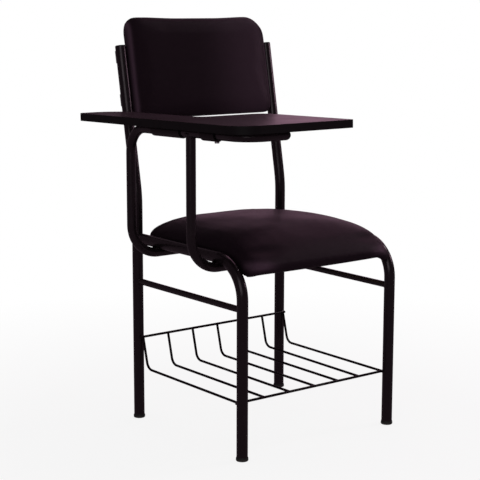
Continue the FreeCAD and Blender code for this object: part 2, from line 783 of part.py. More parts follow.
def back_strap(which, height):
    """Flat steel bar behind both uprights that the back is screwed to."""
    body = new_body("back_strap_" + which)
    outline = sketch(body, "outline", "XZ_Plane", "-tube_radius - strap_thickness")
    low, high = "%s - strap_width / 2" % height, "%s + strap_width / 2" % height
    side = "frame_half_width + tube_radius / 2"
    route(outline, [("-(%s)" % side, low, None), (side, low, None), (side, high, None),
                    ("-(%s)" % side, high, None)], closed=True)
    pad(body, outline, "strap_thickness")
    holes = sketch(body, "holes", "XZ_Plane", "-tube_radius")
    for x, place in back_screw_places():
        if place == height:
            circles(holes, x, place, "screw_radius")
    pocket(body, holes)
    on_back(body, "back_strap_" + which)


for side, across in (("left", "-frame_half_width"), ("right", "frame_half_width")):
    front_leg(side, across)
    rear_leg(side, across)
    side_brace(side, across)
    upright_plug(side, across)
    for end, along in (("front", "-leg_half_depth"), ("rear", "leg_half_depth")):
        foot_glide(end + "_" + side, across, along)

rack_rail("rack_rail_front", "-(%s)" % RAIL_Y, "rack_floor_height")
rack_rail("rack_rail_rear", RAIL_Y, "rack_back_height")
for number, (rear_share, front_share) in enumerate(zip(WIRE_REAR_SHARES, WIRE_FRONT_SHARES), 1):
    rack_wire(number, rear_share, front_share)

arm_tube()
arm_post()
arm_tip()
for plate in PLATES:
    hinge_sleeve(*plate)
    hinge_plate(*plate)
tablet_board()
edge_band()
tablet_screws()
rest_bumper()
stop_bolt()

board = seat_board()
seat_pad(board)
screws("seat_screws", seat_screw_places("arm_rear") + seat_screw_places("-arm_front"),
       CROSS_Z + " - arm_radius", "2 * arm_radius + screw_bite")
back_board()
back_pad()
for strap in STRAPS:
    back_strap(*strap)
screws("back_screws", back_screw_places(), "-tube_radius - strap_thickness",
       "strap_thickness + screw_bite", y="leg_half_depth", z="lean_start", angle="90 - lean")

doc.recompute()
for item in doc.Objects:
    if {"Invalid", "Error"} & set(item.State):
        raise ValueError("%s failed: %s" % (item.Name, item.State))
os.makedirs("parts", exist_ok=True)
for piece in pieces:
    if piece.Shape.isNull() or not piece.Shape.isValid():
        raise ValueError("no sound shape: " + piece.Label)
    piece.Shape.exportStep("parts/%s.step" % piece.Label)
print("%d pieces written" % len(pieces))
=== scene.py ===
import json
import math

import bpy
from mathutils import Matrix, Quaternion, Vector
from mathutils.bvhtree import BVHTree


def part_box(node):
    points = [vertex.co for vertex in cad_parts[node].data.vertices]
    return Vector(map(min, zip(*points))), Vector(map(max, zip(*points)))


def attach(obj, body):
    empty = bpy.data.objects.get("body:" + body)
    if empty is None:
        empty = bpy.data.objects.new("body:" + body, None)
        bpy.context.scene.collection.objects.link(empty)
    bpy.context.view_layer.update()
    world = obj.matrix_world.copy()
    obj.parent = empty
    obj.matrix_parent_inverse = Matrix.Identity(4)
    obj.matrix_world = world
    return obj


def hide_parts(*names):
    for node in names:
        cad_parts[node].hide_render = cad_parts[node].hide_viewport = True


bl_info = {
    "name": "Tablet-arm chair looks",
    "version": (1, 0, 0),
    "blender": (4, 5, 0),
    "location": "3D View > Sidebar > Chair",
    "description": "Upholstery, finishes and studio for the steel-tube student chair",
    "category": "Object",
}

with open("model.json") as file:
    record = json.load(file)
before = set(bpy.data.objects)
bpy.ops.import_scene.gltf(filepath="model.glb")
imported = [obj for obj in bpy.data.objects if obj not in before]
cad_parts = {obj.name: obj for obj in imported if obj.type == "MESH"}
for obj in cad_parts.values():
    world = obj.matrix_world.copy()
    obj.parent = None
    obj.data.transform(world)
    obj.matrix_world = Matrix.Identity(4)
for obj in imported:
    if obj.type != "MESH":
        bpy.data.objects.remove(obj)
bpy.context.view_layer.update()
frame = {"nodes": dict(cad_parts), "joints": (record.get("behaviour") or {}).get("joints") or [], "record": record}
NODES = frame["nodes"]

# Places and sizes that the pieces share, in metres, from the chair's own nodes.
SEAT_LOW, SEAT_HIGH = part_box("seat_pad")
BACK_LOW, BACK_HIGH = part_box("back_pad")
BOARD_LOW, BOARD_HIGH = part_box("seat_board")
MID_X = (SEAT_LOW.x + SEAT_HIGH.x) / 2
LEG_RADIUS = 0.0111
ARM_RADIUS = 0.0095
LEAN = math.radians(10.4)
LEAN_HEIGHT = 0.478
LEAN_START = Vector((MID_X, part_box("rear_leg_left")[0].y + LEG_RADIUS, LEAN_HEIGHT))
UP_BACK = Vector((0, math.sin(LEAN), math.cos(LEAN)))
OUT_OF_BACK = Vector((0, -math.cos(LEAN), math.sin(LEAN)))
HINGE = Vector(frame["joints"][0]["pos_m"])
ARM_RISE = math.radians(1.05)
STRAP_WIDTH = 0.025
SEAT_SKIRT = 0.0095
BACK_SKIRT = 0.0085
SEAT_CORNERS = (0.004, 0.004)
BACK_CORNERS = (0.016, 0.028)
PAD_CORNER = 0.026
SOFT_CORNER = 0.050
BAND_EASE = 0.0004
CREASE = math.radians(35)

# Where the two cross tubes run under the seat, along Y.
CROSS_ROWS = (sum(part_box("arm_post"), Vector()).y / 2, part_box("arm_tube")[1].y - ARM_RADIUS)


# Sizes and colours that a user would change

class ChairFinishSettings(bpy.types.PropertyGroup):
    paint: bpy.props.FloatVectorProperty(
        name="Paint", description="Baked paint on the tubes and wires", subtype="COLOR",
        size=3, default=(0.0052, 0.0034, 0.0042), min=0, max=1)
    vinyl: bpy.props.FloatVectorProperty(
        name="Vinyl", description="Upholstery vinyl of the seat and back", subtype="COLOR",
        size=3, default=(0.0095, 0.0052, 0.0080), min=0, max=1)
    laminate: bpy.props.FloatVectorProperty(
        name="Laminate", description="Top of the writing board", subtype="COLOR",
        size=3, default=(0.044, 0.0265, 0.0350), min=0, max=1)
    edge: bpy.props.FloatVectorProperty(
        name="Edge band", description="Band round the writing board", subtype="COLOR",
        size=3, default=(0.0045, 0.0032, 0.0040), min=0, max=1)
    birch: bpy.props.FloatVectorProperty(
        name="Plywood", description="Face veneer of the seat and back boards", subtype="COLOR",
        size=3, default=(0.42, 0.29, 0.17), min=0, max=1)
    zinc: bpy.props.FloatVectorProperty(
        name="Zinc", description="Plating of the screws", subtype="COLOR",
        size=3, default=(0.55, 0.56, 0.57), min=0, max=1)
    plastic: bpy.props.FloatVectorProperty(
        name="Moulded plastic", description="Glides and plugs", subtype="COLOR",
        size=3, default=(0.012, 0.0115, 0.012), min=0, max=1)


class ChairCushionSettings(bpy.types.PropertyGroup):
    voxel: bpy.props.FloatProperty(
        name="Mesh size", description="Side of the voxels that a cushion is remeshed with",
        default=0.005, min=0.003, max=0.01, unit="LENGTH")
    pressure: bpy.props.FloatProperty(
        name="Pressure", description="Pressure of the foam under the vinyl", default=3.0, min=0, max=10)
    seat_cap: bpy.props.FloatProperty(
        name="Seat rise", description="Furthest that the seat's vinyl may rise",
        default=0.022, min=0, max=0.05, unit="LENGTH")
    back_cap: bpy.props.FloatProperty(
        name="Back rise", description="Furthest that the back's vinyl may rise",
        default=0.010, min=0, max=0.05, unit="LENGTH")
    slack: bpy.props.FloatProperty(
        name="Slack", description="Share of the crown that the pressure has to raise again",
        default=0.06, min=0, max=0.3)
    steps: bpy.props.IntProperty(
        name="Steps", description="Frames of cloth simulation", default=20, min=1, max=60)


class ChairJoinerySettings(bpy.types.PropertyGroup):
    weld: bpy.props.FloatProperty(
        name="Weld width", description="Width of a run of weld on the frame",
        default=0.0042, min=0.001, max=0.01, unit="LENGTH")
    ripple: bpy.props.FloatProperty(
        name="Weld ripple", description="Distance between the ripples of a weld",
        default=0.0015, min=0.0005, max=0.005, unit="LENGTH")
    recess: bpy.props.FloatProperty(
        name="Recess", description="Width of the cross recess in a screw's head",
        default=0.0046, min=0.001, max=0.008, unit="LENGTH")
    hem: bpy.props.FloatProperty(
        name="Hem", description="Width of the vinyl turned over the back of a board",
        default=0.019, min=0.005, max=0.05, unit="LENGTH")
    staple: bpy.props.FloatProperty(
        name="Staple", description="Width of a staple's crown",
        default=0.0105, min=0.005, max=0.02, unit="LENGTH")
    staple_gap: bpy.props.FloatProperty(
        name="Staple spacing", description="Distance from one staple to the next",
        default=0.030, min=0.015, max=0.1, unit="LENGTH")


class ChairStageSettings(bpy.types.PropertyGroup):
    lens: bpy.props.FloatProperty(
        name="Lens", description="Focal length on a 36 mm sensor", default=101.3, min=20, max=300)
    camera_place: bpy.props.FloatVectorProperty(
        name="Camera", description="Where the camera stands", size=3, subtype="TRANSLATION",
        unit="LENGTH", default=(-1.6733, -2.1050, 0.8671))
    camera_aim: bpy.props.FloatVectorProperty(
        name="Aim", description="What the camera looks at", size=3, subtype="TRANSLATION",
        unit="LENGTH", default=(0.0007, 0.0446, 0.3943))
    camera_roll: bpy.props.FloatProperty(
        name="Roll", description="Turn of the camera about its own axis", subtype="ANGLE",
        default=math.radians(0.11), min=-0.2, max=0.2)
    floor: bpy.props.FloatVectorProperty(
        name="Floor", description="Colour of the studio floor", subtype="COLOR",
        size=3, default=(0.86, 0.86, 0.86), min=0, max=1)


# Shader building

def feed(tree, socket, given):
    """Links what is given to the socket, or sets it there."""
    if isinstance(given, bpy.types.NodeSocket):
        tree.links.new(given, socket)
    else:
        socket.default_value = given


def add(tree, kind, inputs=None, **settings):
    """A node with its settings, and its inputs linked or set."""
    node = tree.nodes.new(kind)
    for name, setting in settings.items():
        setattr(node, name, setting)
    for name, given in (inputs or {}).items():
        feed(tree, node.inputs[name], given)
    return node


def maths(tree, operation, *values):
    return add(tree, "ShaderNodeMath", dict(enumerate(values)), operation=operation).outputs[0]


def times(tree, first, second):
    return maths(tree, "MULTIPLY", first, second)


def plus(tree, first, second):
    return maths(tree, "ADD", first, second)


def noise(tree, vector, scale, detail=2.0, roughness=0.5):
    return add(tree, "ShaderNodeTexNoise", {"Vector": vector, "Scale": scale, "Detail": detail,
                                            "Roughness": roughness}).outputs["Fac"]


def spread(tree, value, low, high, to_low=0.0, to_high=1.0):
    """The value stretched from one range to another and held there."""
    return add(tree, "ShaderNodeMapRange", {"Value": value, "From Min": low, "From Max": high,
                                            "To Min": to_low, "To Max": to_high}).outputs["Result"]


def blend(tree, share, first, second):
    """The first colour turning into the second; inputs 6 and 7 and output 2 are the node's colours."""
    return add(tree, "ShaderNodeMix", {0: share, 6: first, 7: second}, data_type="RGBA").outputs[2]


def new_group(name, takes, gives):
    """An empty shader group with an input and an output node."""
    tree = bpy.data.node_groups.new(name, "ShaderNodeTree")
    for label, kind, default in takes:
        socket = tree.interface.new_socket(label, in_out="INPUT", socket_type="NodeSocket" + kind)
        if default is not None:
            socket.default_value = default
    for label, kind in gives:
        tree.interface.new_socket(label, in_out="OUTPUT", socket_type="NodeSocket" + kind)
    return tree, tree.nodes.new("NodeGroupInput").outputs, tree.nodes.new("NodeGroupOutput").inputs


def orange_peel():
    """Fine waves of sprayed and baked paint."""
    tree, take, give = new_group("Orange peel", [("Vector", "Vector", None), ("Scale", "Float", 420.0)],
                                 [("Height", "Float"), ("Roughness", "Float")])
    fine = noise(tree, take["Vector"], take["Scale"], 1.0)
    broad = noise(tree, take["Vector"], times(tree, take["Scale"], 0.12), 3.0)
    height = plus(tree, times(tree, fine, 0.7), times(tree, broad, 0.3))
    tree.links.new(height, give["Height"])
    tree.links.new(broad, give["Roughness"])
    return tree


def scuffs():
    """Sparse hairline rubs, thicker where the broad noise gathers them."""
    tree, take, give = new_group("Scuffs", [("Vector", "Vector", None), ("Scale", "Float", 60.0),
                                            ("Amount", "Float", 0.3)], [("Mask", "Float")])
    stretched = add(tree, "ShaderNodeMapping", {"Vector": take["Vector"], "Scale": (1.0, 1.0, 0.12),
                                                "Rotation": (0.5, 0.3, 0.2)}).outputs[0]
    lines = spread(tree, noise(tree, stretched, take["Scale"], 6.0, 0.7), 0.63, 0.70)
    broad = noise(tree, take["Vector"], times(tree, take["Scale"], 0.1))
    patches = spread(tree, broad, 0.48, 0.66)
    tree.links.new(times(tree, times(tree, lines, patches), take["Amount"]), give["Mask"])
    return tree


def hide_grain():
    """Embossed leather cells with fine creases, as pressed into upholstery vinyl."""
    tree, take, give = new_group("Hide grain", [("Vector", "Vector", None), ("Scale", "Float", 700.0)],
                                 [("Height", "Float"), ("Mottle", "Float")])
    warp = add(tree, "ShaderNodeTexNoise", {"Vector": take["Vector"], "Scale": 90.0, "Detail": 2.0})
    bent = add(tree, "ShaderNodeVectorMath", {0: warp.outputs["Color"], "Scale": 0.004}, operation="SCALE")
    place = add(tree, "ShaderNodeVectorMath", {0: take["Vector"], 1: bent.outputs[0]}, operation="ADD")
    cells = add(tree, "ShaderNodeTexVoronoi", {"Vector": place.outputs[0], "Scale": take["Scale"]},
                feature="DISTANCE_TO_EDGE")
    pebbles = spread(tree, cells.outputs["Distance"], 0.0, 0.22)
    pores = noise(tree, take["Vector"], times(tree, take["Scale"], 2.2))
    tree.links.new(plus(tree, times(tree, pebbles, 0.75), times(tree, pores, 0.25)), give["Height"])
    tree.links.new(noise(tree, take["Vector"], 9.0, 3.0), give["Mottle"])
    return tree


def wood_figure():
    """Rotary-cut birch: broad wavering bands and fine dark pores along X."""
    tree, take, give = new_group("Wood figure", [("Vector", "Vector", None)],
                                 [("Figure", "Float"), ("Pores", "Float")])
    along = add(tree, "ShaderNodeMapping", {"Vector": take["Vector"], "Scale": (1.2, 9.0, 9.0)}).outputs[0]
    figure = noise(tree, along, 5.0, 5.0, 0.6)
    fibres = (14.0, 420.0, 420.0)
    thin = add(tree, "ShaderNodeMapping", {"Vector": take["Vector"], "Scale": fibres}).outputs[0]
    tree.links.new(figure, give["Figure"])
    tree.links.new(spread(tree, noise(tree, thin, 3.0), 0.52, 0.72), give["Pores"])
    return tree


def new_material(name, **surface):
    """A material with its Principled shader's constant values set."""
    material = bpy.data.materials.new(name)
    material.use_nodes = True
    tree = material.node_tree
    shader = tree.nodes["Principled BSDF"]
    for label, number in surface.items():
        shader.inputs[label.replace("_", " ").title().replace("Ior", "IOR")].default_value = number
    place = tree.nodes.new("ShaderNodeTexCoord").outputs["Object"]
    return material, tree, place


def cover(material, tone, rough, height, strength, distance):
    """Links a colour, a roughness and a bump to the material's shader."""
    tree = material.node_tree
    relief = add(tree, "ShaderNodeBump", {"Height": height, "Strength": strength, "Distance": distance})
    shader = tree.nodes["Principled BSDF"]
    for label, given in (("Base Color", tone), ("Roughness", rough), ("Normal", relief.outputs[0])):
        tree.links.new(given, shader.inputs[label])
    return material


def group(tree, kind, **inputs):
    node = tree.nodes.new("ShaderNodeGroup")
    node.node_tree = kind
    for name, given in inputs.items():
        feed(tree, node.inputs[name], given)
    return node.outputs


def colour(settings, shift=1.0):
    """The setting's colour, lighter or darker, with its alpha."""
    return tuple(min(part * shift, 1.0) for part in settings) + (1.0,)


def paint_material(name, base, worn=0.10, gloss=0.52):
    """Gloss black baked paint with a plum cast, orange peel and light rubs."""
    bare_steel = (0.06, 0.055, 0.06)
    material, tree, place = new_material(name, specular_ior_level=gloss, specular_tint=(1.0, 0.86, 0.93, 1.0))
    peel = group(tree, GROUPS["peel"], Vector=place)
    marks = group(tree, GROUPS["scuffs"], Vector=place, Scale=150.0, Amount=worn)["Mask"]
    tone = blend(tree, noise(tree, place, 11.0), colour(base, 0.85), colour(base, 1.25))
    tone = blend(tree, marks, tone, colour(bare_steel))
    rough = plus(tree, spread(tree, peel["Roughness"], 0.3, 0.7, 0.17, 0.27), times(tree, marks, 0.5))
    return cover(material, tone, rough, peel["Height"], strength=0.12, distance=0.0006)


def vinyl_material(name, base):
    """Dark plum upholstery vinyl with a pressed grain, a soft sheen, painted shade in the grain's creases and
    painted highlights where the piece marks them.
    """
    material, tree, place = new_material(name, specular_ior_level=0.08, specular_tint=(1.0, 0.62, 0.82, 1.0))
    grain = group(tree, GROUPS["hide"], Vector=place, Scale=800.0)
    tone = blend(tree, grain["Mottle"], colour(base, 0.86), colour(base, 1.18))
    # Painted highlight: where the stored share says, the vinyl's colour is lightened up to six times, standing in
    # for light caught on its rolls and lip.
    painted_highlight = add(tree, "ShaderNodeAttribute", attribute_name="painted_highlight").outputs["Fac"]
    tone = blend(tree, painted_highlight, tone, colour(base, 6.0))
    # Painted shade: the grain's creases are darkened towards half the vinyl's colour.
    creases = spread(tree, grain["Height"], 0.0, 0.7, 0.35, 0.0)
    tone = blend(tree, creases, tone, colour(base, 0.5))
    rough = plus(tree, spread(tree, grain["Mottle"], 0.3, 0.7, 0.35, 0.44),
                 spread(tree, grain["Height"], 0.0, 1.0, 0.06, -0.02))
    return cover(material, tone, rough, grain["Height"], strength=0.22, distance=0.0004)


def laminate_material(name, base):
    """Satin wine laminate with a faint cloudy print, fine texture and hairline rubs."""
    material, tree, place = new_material(name, specular_ior_level=0.3, specular_tint=(1.0, 0.66, 0.84, 1.0))
    clouds = noise(tree, place, 14.0, 5.0, 0.6)
    tone = blend(tree, clouds, colour(base, 0.88), colour(base, 1.14))
    marks = group(tree, GROUPS["scuffs"], Vector=place, Scale=90.0, Amount=0.25)["Mask"]
    tone = blend(tree, marks, tone, colour(base, 2.2))
    rough = plus(tree, spread(tree, clouds, 0.3, 0.7, 0.30, 0.38), times(tree, marks, 0.3))
    return cover(material, tone, rough, noise(tree, place, 1500.0), strength=0.08, distance=0.0004)


def band_material(name, base):
    """Black edge banding with a faint lengthwise ribbing."""
    material, tree, place = new_material(name, specular_ior_level=0.15)
    ribs = add(tree, "ShaderNodeMapping", {"Vector": place, "Scale": (40.0, 40.0, 1400.0)}).outputs[0]
    lines = noise(tree, ribs, 1.0)
    tone = blend(tree, lines, colour(base, 0.8), colour(base, 1.5))
    rough = spread(tree, noise(tree, place, 60.0), 0.3, 0.7, 0.42, 0.56)
    return cover(material, tone, rough, lines, strength=0.15, distance=0.0003)


def plywood_material(name, base, plies_along):
    """Birch plywood: figured faces, and plies that alternate across the edges."""
    two_plies = 0.0028
    material, tree, place = new_material(name)
    wood = group(tree, GROUPS["wood"], Vector=place)
    tone = blend(tree, spread(tree, wood["Figure"], 0.3, 0.7), colour(base, 0.82), colour(base, 1.16))
    tone = blend(tree, times(tree, wood["Pores"], 0.5), tone, colour(base, 0.45))
    normal = tree.nodes["Texture Coordinate"].outputs["Normal"]
    depth, facing = (add(tree, "ShaderNodeVectorMath", {0: given, 1: plies_along}, operation="DOT_PRODUCT")
                     for given in (place, normal))
    step = maths(tree, "FRACT", times(tree, depth.outputs["Value"], 1 / two_plies))
    plies = blend(tree, spread(tree, step, 0.44, 0.56), colour(base, 0.42), colour(base, 0.95))
    edge = spread(tree, maths(tree, "ABSOLUTE", facing.outputs["Value"]), 0.8, 0.6)
    rough = spread(tree, wood["Figure"], 0.3, 0.7, 0.55, 0.7)
    grain = maths(tree, "SUBTRACT", wood["Figure"], wood["Pores"])
    return cover(material, blend(tree, edge, tone, plies), rough, grain, strength=0.2, distance=0.0004)


def zinc_material(name, base):
    """Zinc plate with a soft brushed spangle."""
    material, tree, place = new_material(name, metallic=1.0)
    spangle = noise(tree, place, 900.0, 3.0)
    tone = blend(tree, spangle, colour(base, 0.8), colour(base, 1.1))
    rough = spread(tree, spangle, 0.3, 0.7, 0.26, 0.42)
    return cover(material, tone, rough, spangle, strength=0.1, distance=0.0002)


def moulded_material(name, base, roughness=0.5):
    """Black moulded plastic with a fine spark-eroded texture, dusty low down."""
    dust = (0.09, 0.08, 0.07)
    dusty_height = 0.006
    material, tree, place = new_material(name, specular_ior_level=0.2)
    fine = noise(tree, place, 1600.0)
    height = add(tree, "ShaderNodeSeparateXYZ", {0: place}).outputs["Z"]
    dusty = times(tree, spread(tree, height, dusty_height, 0.0), noise(tree, place, 220.0, 3.0))
    tone = blend(tree, noise(tree, place, 40.0), colour(base, 0.85), colour(base, 1.3))
    tone = blend(tree, dusty, tone, colour(dust))
    rough = spread(tree, fine, 0.3, 0.7, roughness - 0.06, roughness + 0.08)
    return cover(material, tone, rough, fine, strength=0.2, distance=0.0003)


GROUPS = {}


def build_groups():
    if not GROUPS:
        GROUPS.update(peel=orange_peel(), scuffs=scuffs(), hide=hide_grain(), wood=wood_figure())


def dress(node, material):
    """Gives a chair node its material in every slot."""
    mesh = NODES[node].data
    mesh.materials.clear()
    mesh.materials.append(material)


# Mesh helpers

def select_nothing():
    if bpy.context.object and bpy.context.object.mode != "OBJECT":
        bpy.ops.object.mode_set(mode="OBJECT")
    bpy.ops.object.select_all(action="DESELECT")


def select_only(piece):
    select_nothing()
    piece.select_set(True)
    bpy.context.view_layer.objects.active = piece


def merge_points(piece, gap):
    """Merges points nearer than the gap and turns the faces outwards."""
    select_only(piece)
    bpy.ops.object.mode_set(mode="EDIT")
    bpy.ops.mesh.select_all(action="SELECT")
    bpy.ops.mesh.remove_doubles(threshold=gap)
    bpy.ops.mesh.normals_make_consistent(inside=False)
    bpy.ops.object.mode_set(mode="OBJECT")


def copy_node(node, name):
    """The node's mesh as a new closed piece."""
    mesh = NODES[node].data.copy()
    mesh.name = name
    piece = bpy.data.objects.new(name, mesh)
    bpy.context.scene.collection.objects.link(piece)
    merge_points(piece, 0.00002)
    return piece


def apply_modifier(piece, kind, **settings):
    modifier = piece.modifiers.new(kind.title(), kind)
    for name, setting in settings.items():
        setattr(modifier, name, setting)
    select_only(piece)
    bpy.ops.object.modifier_apply(modifier=modifier.name)


def inflate(piece, pinned, settings, cap):
    """Blows the piece up as cloth from inside, with the pinned points held."""
    before = [vertex.co.copy() for vertex in piece.data.vertices]
    hold = piece.vertex_groups.new(name="held")
    for index, share in enumerate(pinned):
        if share > 0:
            hold.add([index], share, "REPLACE")
    modifier = piece.modifiers.new("Cloth", "CLOTH")
    cloth = modifier.settings
    cloth.quality = 5
    cloth.use_pressure = True
    cloth.uniform_pressure_force = settings.pressure
    cloth.effector_weights.gravity = 0
    cloth.vertex_group_mass = "held"
    cloth.tension_stiffness = cloth.compression_stiffness = cloth.shear_stiffness = 40
    cloth.bending_stiffness = 30
    modifier.point_cache.frame_start = 1
    modifier.point_cache.frame_end = settings.steps
    scene = bpy.context.scene
    for number in range(1, settings.steps + 1):
        scene.frame_set(number)
    select_only(piece)
    bpy.ops.object.modifier_apply(modifier=modifier.name)
    scene.frame_set(1)
    for vertex, start in zip(piece.data.vertices, before):
        move = vertex.co - start
        if move.length > cap:
            vertex.co = start + move * (cap / move.length)
    piece.vertex_groups.clear()


def start_piece(add_primitive, name, **settings):
    """A new primitive, with nothing else selected."""
    select_nothing()
    add_primitive(**settings)
    piece = bpy.context.object
    piece.name = piece.data.name = name
    return piece


def select_faces(piece, wanted):
    """Leaves edit mode on, with only the faces selected that are wanted by place and normal."""
    select_only(piece)
    bpy.ops.object.mode_set(mode="EDIT")
    bpy.ops.mesh.select_mode(type="FACE")
    bpy.ops.mesh.select_all(action="DESELECT")
    bpy.ops.object.mode_set(mode="OBJECT")
    for face in piece.data.polygons:
        face.select = wanted(face.center, face.normal)
    bpy.ops.object.mode_set(mode="EDIT")


def copy_to(model, name, place, turn=Quaternion()):
    """A copy of the model with its own mesh, turned and moved within the mesh."""
    twin = bpy.data.objects.new(name, model.data.copy())
    bpy.context.scene.collection.objects.link(twin)
    twin.data.transform(Matrix.LocRotScale(place, turn, None))
    return twin


def join_pieces(pieces, name):
    """One piece of several, at the origin."""
    select_only(pieces[0])
    for piece in pieces:
        piece.select_set(True)
    bpy.ops.object.join()
    bpy.ops.object.transform_apply(location=True, rotation=True, scale=True)
    piece = bpy.context.object
    piece.name = piece.data.name = name
    return piece


def weld_run(middle, reach, settings, share=1.0):
    """A run of weld along a crevice, to both sides of its middle, rippled as its pool froze."""
    swell = 0.12
    blunt = 0.3
    length = 2 * reach.length
    ripples = length / settings.ripple
    radius = settings.weld * share / 2
    piece = start_piece(bpy.ops.mesh.primitive_uv_sphere_add, "weld_run", segments=12,
                        ring_count=max(int(ripples) * 3, 12), radius=1.0)
    turn = reach.to_track_quat("Z", "Y")
    for vertex in piece.data.vertices:
        x, y, z = vertex.co
        thick = radius * max(1 - z * z, 0.001) ** -blunt * (1 + swell * math.sin(math.pi * z * ripples))
        vertex.co = middle + turn @ Vector((x * thick, y * thick, z * length / 2))
    return piece


def weld_ring(foot, along, across, radius, wall, settings):
    """A ring of weld round a tube that stands on the round side of another.

    The foot is where the tube's axis leaves the other one, whose side falls away across it."""
    swell = 0.14
    widest = 0.94
    thick = settings.weld * 0.42
    piece = start_piece(bpy.ops.mesh.primitive_torus_add, "weld_ring", major_segments=72, minor_segments=10,
                        major_radius=radius, minor_radius=thick)
    turn = Matrix((across, along.cross(across), along)).transposed().to_quaternion()
    beats = round(2 * math.pi * radius / settings.ripple)
    for vertex in piece.data.vertices:
        x, y, _ = vertex.co
        core = Vector((x, y, 0)).normalized() * radius
        spot = core + (vertex.co - core) * (1 + swell * math.sin(math.atan2(y, x) * beats))
        fall = wall - math.sqrt(wall * wall - min(spot.x * spot.x, wall * wall * widest))
        vertex.co = foot + turn @ (spot - Vector((0, 0, fall)))
    return piece


def cross_screw(length, recess):
    """Pan-head screw with a pressed cross: its head's face at the origin, its tip up."""
    radius = 0.0044
    depth = 0.0022
    shank = 0.0022
    dome = depth * 0.62
    tip = 0.25
    cross = (recess, recess * 0.2, recess * 0.64)
    cross_bottom = (0.45, 0.7, 1)
    cross_turn = 0.4
    piece = start_piece(bpy.ops.mesh.primitive_cylinder_add, "cross_screw", vertices=32, radius=radius,
                        depth=depth, location=(0, 0, depth / 2))
    bpy.ops.object.transform_apply(location=True, rotation=False, scale=False)
    select_faces(piece, lambda middle, normal: normal.z < -0.9)
    bpy.ops.mesh.bevel(offset=dome, segments=4, affect="EDGES", profile=0.6)
    select_faces(piece, lambda middle, normal: normal.z > 0.9)
    bpy.ops.mesh.inset(thickness=radius - shank)
    bpy.ops.mesh.extrude_region_move(TRANSFORM_OT_translate={"value": (0, 0, length - depth - shank)})
    bpy.ops.mesh.extrude_region_move(TRANSFORM_OT_translate={"value": (0, 0, shank)})
    bpy.ops.transform.resize(value=(tip, tip, 1))
    bpy.ops.object.mode_set(mode="OBJECT")
    for turn in (0, math.pi / 2):
        cutter = start_piece(bpy.ops.mesh.primitive_cube_add, "recess_cutter", size=1, location=(0, 0, 0))
        cutter.data.transform(Matrix.Diagonal((*cross, 1)))
        select_faces(cutter, lambda middle, normal: normal.z > 0.9)
        bpy.ops.transform.resize(value=cross_bottom)
        bpy.ops.object.mode_set(mode="OBJECT")
        cutter.data.transform(Matrix.Rotation(turn + cross_turn, 4, "Z"))
        apply_modifier(piece, "BOOLEAN", object=cutter, operation="DIFFERENCE", solver="EXACT")
        bpy.data.objects.remove(cutter)
    return piece


def screw_places(node, heading):
    """The middle of each screw's head face, and the screw's length, from the node's separate solids."""
    near = 0.0001
    copy_node(node, "screw_guide")
    bpy.ops.object.mode_set(mode="EDIT")
    bpy.ops.mesh.separate(type="LOOSE")
    bpy.ops.object.mode_set(mode="OBJECT")
    places = []
    for guide in list(bpy.context.selected_objects):
        spots = [vertex.co.copy() for vertex in guide.data.vertices]
        depths = [spot.dot(heading) for spot in spots]
        face = [spot for spot, depth in zip(spots, depths) if depth < min(depths) + near]
        places.append((sum(face, Vector()) / len(face), max(depths) - min(depths)))
        bpy.data.objects.remove(guide)
    return places


def hem_band(name, width, height, corners, hem, skirt):
    """A flat band round a rectangle with rounded corners, and a skirt that falls from its outer edge.

    It lies in the plane of X and Y; the corners' radii are those at low and at high Y."""
    near = 0.0001
    row_height = 0.006
    piece = start_piece(bpy.ops.mesh.primitive_plane_add, name, size=1, location=(0, 0, 0))
    piece.data.transform(Matrix.Diagonal((width, height, 1, 1)))
    for side, corner in zip((-1, 1), corners):
        for vertex in piece.data.vertices:
            x, y, _ = vertex.co
            vertex.select = abs(x) > width / 2 - near and y * side > height / 2 - near
        bpy.ops.object.mode_set(mode="EDIT")
        bpy.ops.mesh.select_mode(type="VERT")
        bpy.ops.mesh.bevel(offset=corner, segments=8, affect="VERTICES")
        bpy.ops.mesh.select_all(action="DESELECT")
        bpy.ops.object.mode_set(mode="OBJECT")
    bpy.ops.object.mode_set(mode="EDIT")
    bpy.ops.mesh.select_mode(type="EDGE")
    bpy.ops.mesh.select_all(action="SELECT")
    bpy.ops.mesh.extrude_edges_move(TRANSFORM_OT_translate={"value": (0, 0, -skirt)})
    select_faces(piece, lambda middle, normal: abs(normal.z) > 0.9)
    bpy.ops.mesh.inset(thickness=hem)
    bpy.ops.mesh.delete(type="FACE")
    rows = int(height / row_height)
    for row in range(1, rows):
        bpy.ops.mesh.select_all(action="SELECT")
        bpy.ops.mesh.bisect(plane_co=(0, height * (row / rows - 0.5), 0), plane_no=(0, 1, 0))
    bpy.ops.object.mode_set(mode="OBJECT")
    return piece


def staple(width):
    """A wire staple's crown with its bent shoulders, flat on the plane of X and Y."""
    gauge = 0.0009
    shoulders = ((0.6, 0.5), (0.1, 1.0))
    piece = start_piece(bpy.ops.mesh.primitive_cube_add, "staple", size=1, location=(0, 0, 0))
    piece.data.transform(Matrix.Diagonal((width - gauge, gauge, gauge * 0.7, 1)))
    for side in (-1, 1):
        select_faces(piece, lambda middle, normal: normal.x * side > 0.9)
        for out, down in shoulders:
            step = (side * gauge * out, 0, -gauge * down)
            bpy.ops.mesh.extrude_region_move(TRANSFORM_OT_translate={"value": step})
    bpy.ops.object.mode_set(mode="OBJECT")
    apply_modifier(piece, "BEVEL", width=gauge * 0.25, segments=2, limit_method="ANGLE")
    return piece


